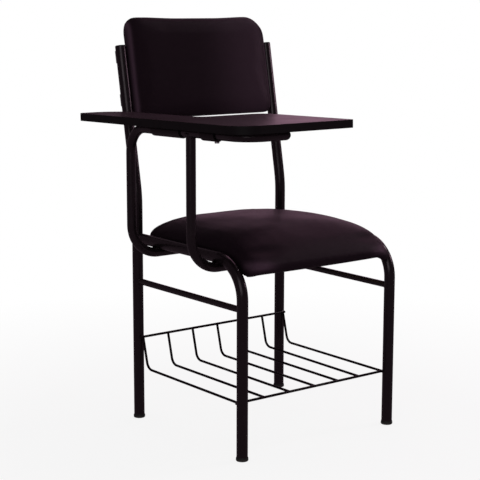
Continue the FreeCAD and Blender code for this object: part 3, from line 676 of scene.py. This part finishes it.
def staple_places(width, height, settings):
    """Places along a rectangle's four sides, with the turn of each staple there, a little uneven."""
    inset = settings.hem * 0.6
    gap = settings.staple_gap
    places = []
    for length, offset, turn in ((width, height / 2 - inset, 0.0), (height, width / 2 - inset, math.pi / 2)):
        count = int((length - 2 * gap) / gap)
        for number in range(count + 1):
            along = (number / count - 0.5) * (length - 2 * gap)
            stray = math.sin(number * 2.4 + length * 40)
            for side in (-1, 1):
                spot = Vector((along + stray * 0.002, side * (offset + stray * 0.0015), 0))
                spot.rotate(Quaternion((0, 0, 1), turn))
                places.append((spot, turn + 0.5 * math.sin(number * 5.1 + side)))
    return places


def smooth_step(low, high, number):
    share = min(max((number - low) / (high - low), 0.0), 1.0)
    return share * share * (3 - 2 * share)


def hump(number, middle, width):
    """One at the middle, falling to nothing over a few widths."""
    return math.exp(-((number - middle) / width) ** 2)


def skin_of(node):
    """The node's own surface, to measure from."""
    mesh = NODES[node].data
    return BVHTree.FromPolygons([vertex.co for vertex in mesh.vertices],
                                [tuple(face.vertices) for face in mesh.polygons])


def keep_inside(piece, skin, depth):
    """Draws points that lie outside the skin, or nearer to it than the depth, back to the depth."""
    for vertex in piece.data.vertices:
        near, normal, _, _ = skin.find_nearest(vertex.co)
        if (vertex.co - near).dot(normal) > -depth:
            vertex.co = near - normal * depth


def draw_to(piece, skin, share_at):
    """Pulls points onto the skin again by the share that their place is given."""
    depth = 0.0003
    for vertex in piece.data.vertices:
        share = share_at(vertex.co)
        if share > 0:
            near, normal, _, _ = skin.find_nearest(vertex.co)
            vertex.co = vertex.co.lerp(near - normal * depth, share)


def mark_painted_highlight(piece, painted_highlight_at):
    """Stores the share of painted highlight at each point of the vinyl, for its material."""
    attribute = piece.data.attributes.new("painted_highlight", "FLOAT", "POINT")
    for vertex, number in zip(piece.data.vertices, attribute.data):
        number.value = painted_highlight_at(vertex.co)


def stretch_to(piece, low, high):
    """Scales the piece about its middle to fill the box again after smoothing."""
    spots = [vertex.co for vertex in piece.data.vertices]
    for axis in range(3):
        least, most = min(spot[axis] for spot in spots), max(spot[axis] for spot in spots)
        scale = (high[axis] - low[axis]) / (most - least)
        for spot in spots:
            spot[axis] = low[axis] + (spot[axis] - least) * scale


def finish_piece(piece, material, body, crease=None):
    """Gives the piece its material, body and slot, and smooths it, up to the crease angle if one is given."""
    piece.data.materials.clear()
    piece.data.materials.append(material)
    select_only(piece)
    bpy.ops.object.shade_smooth()
    if crease:
        bpy.ops.object.shade_smooth_by_angle(angle=crease)
    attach(piece, body)


# Pieces

class CHAIR_OT_frame_finish(bpy.types.Operator):
    """Paint the tubes, wires, sleeves, plates and straps"""
    bl_idname = "chair.frame_finish"
    bl_label = "Paint the frame"

    def execute(self, context):
        build_groups()
        base = context.scene.chair_finish.paint
        tubes = paint_material("Baked paint", base)
        others = {
            "hinge": paint_material("Sleeve paint", base, worn=0.22, gloss=0.2),
            "rack": paint_material("Wire paint", base, worn=0.05, gloss=0.08),
        }
        for row in frame["record"]["subparts"]:
            if row["material_slot"] == "frame_paint":
                dress(row["node"], others.get(row["node"].split("_")[0], tubes))
        return {"FINISHED"}


class CHAIR_OT_hardware_finish(bpy.types.Operator):
    """Finish the glides, plugs, bumper and screws"""
    bl_idname = "chair.hardware_finish"
    bl_label = "Finish the hardware"

    def execute(self, context):
        build_groups()
        finish = context.scene.chair_finish
        finishes = {
            "plug_plastic": moulded_material("Moulded plastic", finish.plastic),
            "rubber": moulded_material("Bumper rubber", finish.plastic, roughness=0.75),
            "screw_steel": zinc_material("Zinc plate", finish.zinc),
        }
        for row in frame["record"]["subparts"]:
            if row["material_slot"] in finishes:
                dress(row["node"], finishes[row["material_slot"]])
        return {"FINISHED"}


class CHAIR_OT_board_finish(bpy.types.Operator):
    """Finish the writing board and its edge band"""
    bl_idname = "chair.board_finish"
    bl_label = "Finish the writing board"

    def execute(self, context):
        build_groups()
        finish = context.scene.chair_finish
        dress("tablet_board", laminate_material("Wine laminate", finish.laminate))
        dress("tablet_edge_band", band_material("Edge band", finish.edge))
        return {"FINISHED"}


class CHAIR_OT_plywood_finish(bpy.types.Operator):
    """Finish the plywood boards under the seat and behind the back"""
    bl_idname = "chair.plywood_finish"
    bl_label = "Finish the plywood"

    def execute(self, context):
        build_groups()
        birch = context.scene.chair_finish.birch
        dress("seat_board", plywood_material("Seat plywood", birch, (0.0, 0.0, 1.0)))
        dress("back_board", plywood_material("Back plywood", birch, -OUT_OF_BACK))
        return {"FINISHED"}


def side_of(spot, low, high):
    """Where the spot stands across the pad: -1 at the sitter's right edge, 1 at the left one."""
    return (spot.x - MID_X) / (high.x - low.x) * 2


def fold_seat(spot):
    """Hollows above the rolled lip, deepest at the front corners, and slack waves on the crown."""
    lip_hollow = 0.0012
    corner_hollow = 0.0065
    slack_wave = 0.0009
    side = side_of(spot, SEAT_LOW, SEAT_HIGH)
    corner = hump(abs(side), 0.80, 0.22)
    front = smooth_step(SEAT_LOW.y + 0.060, SEAT_LOW.y + 0.024, spot.y)
    depth = front * (lip_hollow + corner_hollow * corner) * hump(spot.z, BOARD_HIGH.z + 0.017, 0.010)
    spot.y += depth
    spot.x -= math.copysign(depth * 0.4 * smooth_step(0.85, 1.0, abs(side)), side)
    crown = smooth_step(BOARD_HIGH.z + 0.018, BOARD_HIGH.z + 0.040, spot.z)
    wave = math.sin(spot.x * 31 + math.sin(spot.y * 19) * 1.3) * math.sin(spot.y * 23 + spot.x * 9 + 0.8)
    spot.z += crown * slack_wave * (wave - 1)


def droop_corner(spot):
    """Lets the gathered vinyl of the front corners hang a little below the board's side."""
    side_droop = 0.013
    front_droop = 0.010
    side = side_of(spot, SEAT_LOW, SEAT_HIGH)
    corner = smooth_step(0.78, 0.95, abs(side))
    low = smooth_step(BOARD_HIGH.z + 0.008, BOARD_HIGH.z - 0.010, spot.z)
    behind = spot.y - SEAT_LOW.y
    drop = min(max(behind - 0.012, 0) / 3, side_droop) * smooth_step(0.080, 0.050, behind)
    if side > 0:
        drop = max(drop, front_droop * smooth_step(0.056, 0.024, behind))
    spot.z -= drop * corner * low


def seat_painted_highlight(spot):
    """Painted highlight along the lip of the front corners."""
    side = abs(side_of(spot, SEAT_LOW, SEAT_HIGH))
    front = smooth_step(SEAT_LOW.y + 0.050, SEAT_LOW.y + 0.020, spot.y)
    return 1.25 * front * hump(side, 0.88, 0.15) * hump(spot.z, BOARD_HIGH.z - 0.007, 0.008)


def back_painted_highlight(spot):
    """Painted highlight along the rolls of both sides, and painted light growing towards the sitter's left."""
    side = side_of(spot, BACK_LOW, BACK_HIGH)
    # Painted light, growing towards the sitter's left and easing off at that edge.
    painted_side_light = smooth_step(-0.1, 0.75, side) * smooth_step(0.98, 0.86, side)
    return 0.95 * hump(abs(side), 0.975, 0.022) + 0.42 * painted_side_light


def shape_back_edge(spot):
    """Sags the top edge between its corners and rounds the corner on the sitter's left.

    That corner is drawn in from the pad's own round one to the softer one, by its distance from
    the middle of the softer one."""
    sag = 0.0028
    side = side_of(spot, BACK_LOW, BACK_HIGH)
    top = (BACK_HIGH - LEAN_START).dot(UP_BACK)
    height = (spot - LEAN_START).dot(UP_BACK)
    near_top = smooth_step(top - 0.060, top - 0.004, height)
    spot -= UP_BACK * sag * near_top * (1 - smooth_step(0.25, 0.85, abs(side)))
    corner = Vector((spot.x - BACK_HIGH.x + SOFT_CORNER, height - top + SOFT_CORNER))
    still = SOFT_CORNER / 2
    if min(corner) > 0 and corner.length > still:
        way = corner.normalized()
        straight = SOFT_CORNER - PAD_CORNER
        edge = SOFT_CORNER / max(way)
        if edge * min(way) > straight:
            reach = straight * (way.x + way.y)
            edge = reach + math.sqrt(max(reach ** 2 - 2 * straight ** 2 + PAD_CORNER ** 2, 0))
        pull = way * (corner.length - still) / (edge - still) * (edge - SOFT_CORNER)
        spot.x -= pull.x
        spot -= UP_BACK * pull.y


class CHAIR_OT_seat_cushion(bpy.types.Operator):
    """Upholster the seat: foam under vinyl pulled round the board"""
    bl_idname = "chair.seat_cushion"
    bl_label = "Upholster the seat"

    def execute(self, context):
        build_groups()
        settings = context.scene.chair_cushions
        vinyl = vinyl_material("Seat vinyl", context.scene.chair_finish.vinyl)
        piece = copy_node("seat_pad", "seat_cushion")
        skin = skin_of("seat_pad")
        # The vinyl is held up to about this height, and lower in front of the knee, where the board bends.
        base = BOARD_HIGH.z - 0.010
        knee = BOARD_LOW.y + 0.036
        apply_modifier(piece, "REMESH", mode="VOXEL", voxel_size=settings.voxel)
        pinned = []
        for vertex in piece.data.vertices:
            vertex.co.z -= max(vertex.co.z - (base + 0.012), 0.0) * settings.slack
            drop = max(knee - vertex.co.y, 0.0) / 3
            pinned.append(1 - smooth_step(base - drop + 0.006, base - drop + 0.020, vertex.co.z))
        inflate(piece, pinned, settings, settings.seat_cap)
        keep_inside(piece, skin, 0.0002)
        apply_modifier(piece, "SMOOTH", factor=0.5, iterations=8)
        stretch_to(piece, SEAT_LOW, SEAT_HIGH)
        draw_to(piece, skin, lambda spot: smooth_step(base + 0.020, base + 0.006, spot.z))
        for vertex in piece.data.vertices:
            fold_seat(vertex.co)
        apply_modifier(piece, "SMOOTH", factor=0.5, iterations=1)
        apply_modifier(piece, "SUBSURF", levels=1, render_levels=1)
        keep_inside(piece, skin, 0.0001)
        for vertex in piece.data.vertices:
            droop_corner(vertex.co)
        # Painted highlight along the lip of the seat's front corners.
        mark_painted_highlight(piece, seat_painted_highlight)
        finish_piece(piece, vinyl, "chair_frame")
        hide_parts("seat_pad")
        return {"FINISHED"}


class CHAIR_OT_back_cushion(bpy.types.Operator):
    """Upholster the back: foam under vinyl pulled round the panel"""
    bl_idname = "chair.back_cushion"
    bl_label = "Upholster the back"

    def execute(self, context):
        build_groups()
        settings = context.scene.chair_cushions
        vinyl = vinyl_material("Back vinyl", context.scene.chair_finish.vinyl)
        piece = copy_node("back_pad", "back_cushion")
        skin = skin_of("back_pad")
        apply_modifier(piece, "REMESH", mode="VOXEL", voxel_size=settings.voxel)
        pinned = []
        for vertex in piece.data.vertices:
            depth = (vertex.co - LEAN_START).dot(OUT_OF_BACK)
            vertex.co -= OUT_OF_BACK * max(depth - 0.006, 0.0) * settings.slack
            pinned.append(1 - smooth_step(0.001, 0.008, depth))
        inflate(piece, pinned, settings, settings.back_cap)
        keep_inside(piece, skin, 0.0002)
        apply_modifier(piece, "SMOOTH", factor=0.5, iterations=8)
        stretch_to(piece, BACK_LOW, BACK_HIGH)
        for vertex in piece.data.vertices:
            shape_back_edge(vertex.co)
        keep_inside(piece, skin, 0.0001)
        apply_modifier(piece, "SMOOTH", factor=0.5, iterations=2)
        apply_modifier(piece, "SUBSURF", levels=1, render_levels=1)
        # Painted highlight on the back's side rolls, and painted light towards the sitter's left.
        mark_painted_highlight(piece, back_painted_highlight)
        finish_piece(piece, vinyl, "chair_frame")
        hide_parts("back_pad")
        return {"FINISHED"}


def middle_of(node):
    low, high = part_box(node)
    return (low + high) / 2


class CHAIR_OT_frame_welds(bpy.types.Operator):
    """Lay the welds of the braces, cross tubes, straps, rack and arm post"""
    bl_idname = "chair.frame_welds"
    bl_label = "Weld the frame"

    def execute(self, context):
        build_groups()
        settings = context.scene.chair_joinery
        paint = paint_material("Weld paint", context.scene.chair_finish.paint, worn=0.16, gloss=0.4)
        groups = {
            "brace_welds": self.braces(settings), "cross_tube_welds": self.cross_tubes(settings),
            "strap_welds": self.straps(settings), "rack_welds": self.rack(settings),
            "post_weld": self.post(settings),
        }
        for name, welds in groups.items():
            finish_piece(join_pieces(welds, name), paint, "chair_frame")
        return {"FINISHED"}

    def braces(self, settings):
        """Rings where each brace stands on its two legs."""
        welds = []
        for side in ("left", "right"):
            low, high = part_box("side_brace_" + side)
            radius = (high.z - low.z) / 2
            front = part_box("front_leg_" + side)[0].y + 2 * LEG_RADIUS
            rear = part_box("rear_leg_" + side)[0].y
            for y, along in ((front, Vector((0, 1, 0))), (rear, Vector((0, -1, 0)))):
                foot = (low + high) / 2
                foot.y = y
                welds.append(weld_ring(foot, along, Vector((1, 0, 0)), radius, LEG_RADIUS, settings))
        return welds

    def cross_tubes(self, settings):
        """Runs on both sides of each cross tube, under the two seat rails."""
        reach = Vector((0.0062, 0, 0))
        aside = ARM_RADIUS * 0.52
        sunk = 0.0007
        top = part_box("arm_post")[0].z + 2 * ARM_RADIUS
        welds = []
        for leg in ("front_leg_left", "front_leg_right"):
            for row in CROSS_ROWS:
                for side in (-1, 1):
                    spot = Vector((middle_of(leg).x, row + side * aside, top - sunk))
                    welds.append(weld_run(spot, reach, settings))
        return welds

    def straps(self, settings):
        """Runs over and under the ends of both straps, on the uprights."""
        reach = Vector((0.0050, 0, 0))
        proud = 0.0010
        welds = []
        for strap in ("back_strap_low", "back_strap_high"):
            for leg in ("rear_leg_left", "rear_leg_right"):
                for side in (-1, 1):
                    spot = middle_of(strap)
                    spot.x = middle_of(leg).x
                    spot += UP_BACK * side * STRAP_WIDTH / 2 + OUT_OF_BACK * proud
                    welds.append(weld_run(spot, reach, settings))
        return welds

    def rack(self, settings):
        """Runs over and under the ends of both rack rails, on the legs."""
        reach = Vector((0.0042, 0, 0))
        welds = []
        for rail, legs, toward in (("rack_rail_front", "front_leg_", -1), ("rack_rail_rear", "rear_leg_", 1)):
            low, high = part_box(rail)
            radius = (high.z - low.z) / 2
            aside = toward * radius * 0.7
            for side in ("left", "right"):
                for lift in (-1, 1):
                    spot = (low + high) / 2 + Vector((0, aside, lift * radius * 0.95))
                    spot.x = middle_of(legs + side).x
                    welds.append(weld_run(spot, reach, settings, share=0.8))
        return welds

    def post(self, settings):
        """The ring round the head of the front post, under the arm's run."""
        radius = ARM_RADIUS + 0.0004
        y = CROSS_ROWS[0]
        axis = HINGE.z + (HINGE.y - y) * math.tan(ARM_RISE)
        foot = Vector((HINGE.x, y, axis - ARM_RADIUS))
        return [weld_ring(foot, Vector((0, 0, -1)), Vector((1, 0, 0)), radius, radius, settings)]


class CHAIR_OT_plate_welds(bpy.types.Operator):
    """Lay the stitch welds between the hinge plates and their sleeves"""
    bl_idname = "chair.plate_welds"
    bl_label = "Weld the hinge plates"

    def execute(self, context):
        build_groups()
        settings = context.scene.chair_joinery
        slope = Vector((0, -math.cos(ARM_RISE), math.sin(ARM_RISE)))
        crevice = Vector((-0.0086, 0, 0.0090))
        reach = slope * 0.008
        welds = []
        for node, count in (("hinge_plate_rear", 3), ("hinge_plate_front", 2)):
            low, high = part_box(node)
            for number in range(count):
                middle = high.y - (high.y - low.y) * (number + 0.5) / count
                spot = HINGE + crevice + slope * (HINGE.y - middle)
                welds.append(weld_run(spot, reach, settings, share=0.9))
        paint = paint_material("Plate weld paint", context.scene.chair_finish.paint, worn=0.16, gloss=0.4)
        finish_piece(join_pieces(welds, "plate_welds"), paint, "tablet")
        return {"FINISHED"}


class CHAIR_OT_screws(bpy.types.Operator):
    """Put cross-recessed screws into the seat, the back and the writing board"""
    bl_idname = "chair.screws"
    bl_label = "Put in the screws"

    def execute(self, context):
        build_groups()
        recess = context.scene.chair_joinery.recess
        zinc = zinc_material("Screw zinc", context.scene.chair_finish.zinc)
        headings = {
            "seat_screws": (Vector((0, 0, 1)), "chair_frame"),
            "back_screws": (OUT_OF_BACK, "chair_frame"),
            "tablet_screws": (Vector((0, math.sin(ARM_RISE), math.cos(ARM_RISE))), "tablet"),
        }
        for node, (heading, body) in headings.items():
            places = screw_places(node, heading)
            model = cross_screw(places[0][1], recess)
            turn = heading.to_track_quat("Z", "Y")
            copies = [copy_to(model, "screw", place, turn @ Quaternion((0, 0, 1), number * 1.3))
                      for number, (place, _) in enumerate(places)]
            bpy.data.objects.remove(model)
            piece = join_pieces(copies, node.replace("_screws", "_cross_screws"))
            finish_piece(piece, zinc, body, CREASE)
            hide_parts(node)
        return {"FINISHED"}


class CHAIR_OT_hems(bpy.types.Operator):
    """Turn the vinyl over the backs of both boards and staple it"""
    bl_idname = "chair.hems"
    bl_label = "Turn and staple the hems"

    def execute(self, context):
        build_groups()
        self.seat(context)
        self.back(context)
        return {"FINISHED"}

    def seat(self, context):
        """The hem under the seat board, which follows its bent front, with staples clear of the tubes."""
        settings = context.scene.chair_joinery
        upward = Vector((0, 0, 1))
        below = 0.02
        edge = 0.0006
        snug = 0.0001
        wire_lift = 0.0011
        tube_room = 0.014
        width = BOARD_HIGH.x - BOARD_LOW.x + BAND_EASE
        depth = BOARD_HIGH.y - BOARD_LOW.y + BAND_EASE
        under = (BOARD_LOW + BOARD_HIGH) / 2
        under.z = BOARD_LOW.z - below
        hem = hem_band("seat_hem", width, depth, SEAT_CORNERS, settings.hem, -SEAT_SKIRT)
        skin = skin_of("seat_board")
        for vertex in hem.data.vertices:
            vertex.co += Vector((under.x, under.y, 0))
            y = min(max(vertex.co.y, BOARD_LOW.y + edge), BOARD_HIGH.y - edge)
            rise = skin.ray_cast(Vector((under.x, y, under.z)), upward)[0].z
            vertex.co.z += rise - snug
        self.finish(context, hem, "Seat hem vinyl")

        places = []
        for spot, turn in staple_places(width, depth, settings):
            hit, normal, _, _ = skin.ray_cast(under + spot, upward)
            clear = min(abs(under.y + spot.y - row) for row in CROSS_ROWS) > tube_room
            if hit and clear:
                places.append((hit + normal * wire_lift, normal.to_track_quat("Z", "Y"), turn))
        self.staple_down(context, places, "seat_staples")

    def back(self, context):
        """The hem behind the back board, with staples clear of both straps."""
        settings = context.scene.chair_joinery
        snug = 0.0001
        wire_lift = 0.0012
        strap_room = 0.0165
        low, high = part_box("back_board")
        spots = [vertex.co for vertex in NODES["back_board"].data.vertices]
        behind = min(spot.dot(OUT_OF_BACK) for spot in spots)
        heights = [spot.dot(UP_BACK) for spot in spots]
        height = max(heights) - min(heights) + BAND_EASE
        width = high.x - low.x + BAND_EASE
        middle = UP_BACK * (max(heights) + min(heights)) / 2 + OUT_OF_BACK * (behind - snug)
        middle.x = (low.x + high.x) / 2
        turn = Matrix((Vector((-1, 0, 0)), UP_BACK, -OUT_OF_BACK)).transposed().to_quaternion()
        place = Matrix.LocRotScale(middle, turn, None)
        hem = hem_band("back_hem", width, height, BACK_CORNERS, settings.hem, BACK_SKIRT)
        hem.data.transform(place)
        self.finish(context, hem, "Back hem vinyl")

        straps = [middle_of(strap).dot(UP_BACK) for strap in ("back_strap_low", "back_strap_high")]
        places = []
        for spot, lean in staple_places(width, height, settings):
            spot = place @ spot
            if min(abs(spot.dot(UP_BACK) - strap) for strap in straps) > strap_room:
                places.append((spot - OUT_OF_BACK * wire_lift, turn, lean))
        self.staple_down(context, places, "back_staples")

    def finish(self, context, hem, material):
        """Gives the band the vinyl's thickness, outwards, with a rounded turned edge."""
        merge_points(hem, 0.0001)
        middle = sum((vertex.co for vertex in hem.data.vertices), Vector()) / len(hem.data.vertices)
        if sum(face.normal.dot(face.center - middle) * face.area for face in hem.data.polygons) < 0:
            hem.data.flip_normals()
        apply_modifier(hem, "SOLIDIFY", thickness=0.0010, offset=1.0)
        apply_modifier(hem, "BEVEL", width=0.00035, segments=2, limit_method="ANGLE")
        vinyl = vinyl_material(material, context.scene.chair_finish.vinyl)
        finish_piece(hem, vinyl, "chair_frame", CREASE)

    def staple_down(self, context, places, name):
        """A staple at each place, laid flat by the first turn and slanted by the second."""
        model = staple(context.scene.chair_joinery.staple)
        pieces = [copy_to(model, "staple", spot, flat @ Quaternion((0, 0, 1), slant))
                  for spot, flat, slant in places]
        bpy.data.objects.remove(model)
        zinc = zinc_material(name.replace("_", " ").capitalize() + " wire", context.scene.chair_finish.zinc)
        finish_piece(join_pieces(pieces, name), zinc, "chair_frame")


# Studio

def aim(piece, target, roll=0.0):
    """Turns a lamp or a camera to face the target."""
    turn = (Vector(target) - piece.location).to_track_quat("-Z", "Y")
    piece.rotation_mode = "QUATERNION"
    piece.rotation_quaternion = turn @ Quaternion((0, 0, 1), roll)


def softbox(name, place, target, width, height, power, tint=(1.0, 1.0, 1.0)):
    bpy.ops.object.light_add(type="AREA", location=place)
    lamp = bpy.context.object
    lamp.name = name
    lamp.data.shape = "RECTANGLE"
    lamp.data.size = width
    lamp.data.size_y = height
    lamp.data.energy = power
    lamp.data.color = tint
    aim(lamp, target)


def white_behind(tree, shader, lit, white, dim):
    """The lit shader, white where the camera sees past the chair, and dim in its gloss."""
    path = tree.nodes.new("ShaderNodeLightPath").outputs
    seen = times(tree, maths(tree, "MAXIMUM", path["Is Camera Ray"], path["Is Transmission Ray"]), white)
    bright = add(tree, shader, {"Color": (1, 1, 1, 1), "Strength": 1.0}).outputs[0]
    faint = add(tree, shader, {"Color": (1, 0.68, 0.85, 1), "Strength": dim}).outputs[0]
    gloss = add(tree, "ShaderNodeMixShader", {0: path["Is Glossy Ray"], 1: lit, 2: faint}).outputs[0]
    return add(tree, "ShaderNodeMixShader", {0: seen, 1: gloss, 2: bright}).outputs[0]


class CHAIR_OT_stage(bpy.types.Operator):
    """Set the floor, the white surroundings, the lamps and the camera"""
    bl_idname = "chair.stage"
    bl_label = "Set the stage"

    def execute(self, context):
        scene = context.scene
        settings = scene.chair_stage
        floor = start_piece(bpy.ops.mesh.primitive_plane_add, "studio_floor", size=60, location=(0, 0, 0))
        material = bpy.data.materials.new("Studio floor")
        material.use_nodes = True
        tree = material.node_tree
        shader = tree.nodes["Principled BSDF"]
        shader.inputs["Base Color"].default_value = tuple(settings.floor) + (1.0,)
        shader.inputs["Roughness"].default_value = 0.9
        shader.inputs["Specular IOR Level"].default_value = 0.1
        spot = add(tree, "ShaderNodeTexCoord").outputs["Object"]
        reach = add(tree, "ShaderNodeVectorMath", {0: spot}, operation="LENGTH").outputs["Value"]
        fading = spread(tree, reach, 0.5, 1.4, 0.86, 1.0)
        seen = white_behind(tree, "ShaderNodeEmission", shader.outputs[0], fading, dim=0.12)
        tree.links.new(seen, tree.nodes["Material Output"].inputs["Surface"])
        floor.data.materials.append(material)

        world = bpy.data.worlds.new("Studio")
        scene.world = world
        world.use_nodes = True
        tree = world.node_tree
        light = tree.nodes["Background"]
        light.inputs["Color"].default_value = (1.0, 0.99, 1.0, 1.0)
        light.inputs["Strength"].default_value = 0.45
        seen = white_behind(tree, "ShaderNodeBackground", light.outputs[0], 1.0, dim=0.09)
        tree.links.new(seen, tree.nodes["World Output"].inputs["Surface"])

        rose = (1.0, 0.55, 0.77)
        pale_rose = (1.0, 0.72, 0.86)
        warm_white = (1.0, 0.9, 0.95)
        seat = (0, 0, 0.45)
        softbox("key_softbox", (2.2, -0.6, 2.5), seat, 0.40, 0.40, 8, warm_white)
        softbox("top_softbox", (1.9, 0.9, 2.5), seat, 1.5, 1.5, 7, rose)
        softbox("rear_softbox", (2.4, 2.0, 1.0), (0, 0, 0.6), 2.2, 1.0, 5, rose)
        softbox("side_softbox", (2.75, -0.9, 1.30), (0, 0.2, 0.72), 0.8, 0.6, 7, pale_rose)
        softbox("left_softbox", (-2.6, -1.7, 1.0), (0, 0, 0.65), 0.8, 1.2, 2)
        softbox("fill_softbox", (-2.2, -2.6, 1.8), seat, 2.0, 2.0, 10)

        bpy.ops.object.camera_add(location=settings.camera_place)
        camera = bpy.context.object
        camera.data.lens = settings.lens
        camera.data.sensor_width = 36
        aim(camera, settings.camera_aim, settings.camera_roll)
        scene.camera = camera
        scene.view_settings.view_transform = "Standard"
        return {"FINISHED"}


OPERATORS = (
    CHAIR_OT_frame_finish, CHAIR_OT_hardware_finish, CHAIR_OT_board_finish, CHAIR_OT_plywood_finish,
    CHAIR_OT_seat_cushion, CHAIR_OT_back_cushion, CHAIR_OT_hems, CHAIR_OT_frame_welds,
    CHAIR_OT_plate_welds, CHAIR_OT_screws, CHAIR_OT_stage,
)


class CHAIR_PT_looks(bpy.types.Panel):
    """Pieces and finishes of the chair"""
    bl_label = "Chair looks"
    bl_idname = "CHAIR_PT_looks"
    bl_space_type = "VIEW_3D"
    bl_region_type = "UI"
    bl_category = "Chair"

    def draw(self, context):
        scene = context.scene
        for settings in (scene.chair_finish, scene.chair_cushions, scene.chair_joinery, scene.chair_stage):
            column = self.layout.column(align=True)
            for name in settings.bl_rna.properties.keys():
                if name not in ("rna_type", "name"):
                    column.prop(settings, name)
        for operator in OPERATORS:
            self.layout.operator(operator.bl_idname)


SETTINGS = (
    ("chair_finish", ChairFinishSettings),
    ("chair_cushions", ChairCushionSettings),
    ("chair_joinery", ChairJoinerySettings),
    ("chair_stage", ChairStageSettings),
)


def register():
    for name, kind in SETTINGS:
        bpy.utils.register_class(kind)
        setattr(bpy.types.Scene, name, bpy.props.PointerProperty(type=kind))
    for kind in OPERATORS + (CHAIR_PT_looks,):
        bpy.utils.register_class(kind)


def unregister():
    for kind in reversed(OPERATORS + (CHAIR_PT_looks,)):
        bpy.utils.unregister_class(kind)
    for name, kind in reversed(SETTINGS):
        delattr(bpy.types.Scene, name)
        bpy.utils.unregister_class(kind)


def main():
    register()
    bpy.ops.chair.frame_finish()
    bpy.ops.chair.hardware_finish()
    bpy.ops.chair.board_finish()
    bpy.ops.chair.plywood_finish()
    bpy.ops.chair.seat_cushion()
    bpy.ops.chair.back_cushion()
    bpy.ops.chair.hems()
    bpy.ops.chair.frame_welds()
    bpy.ops.chair.plate_welds()
    bpy.ops.chair.screws()
    bpy.ops.chair.stage()


if __name__ == "__main__":
    main()
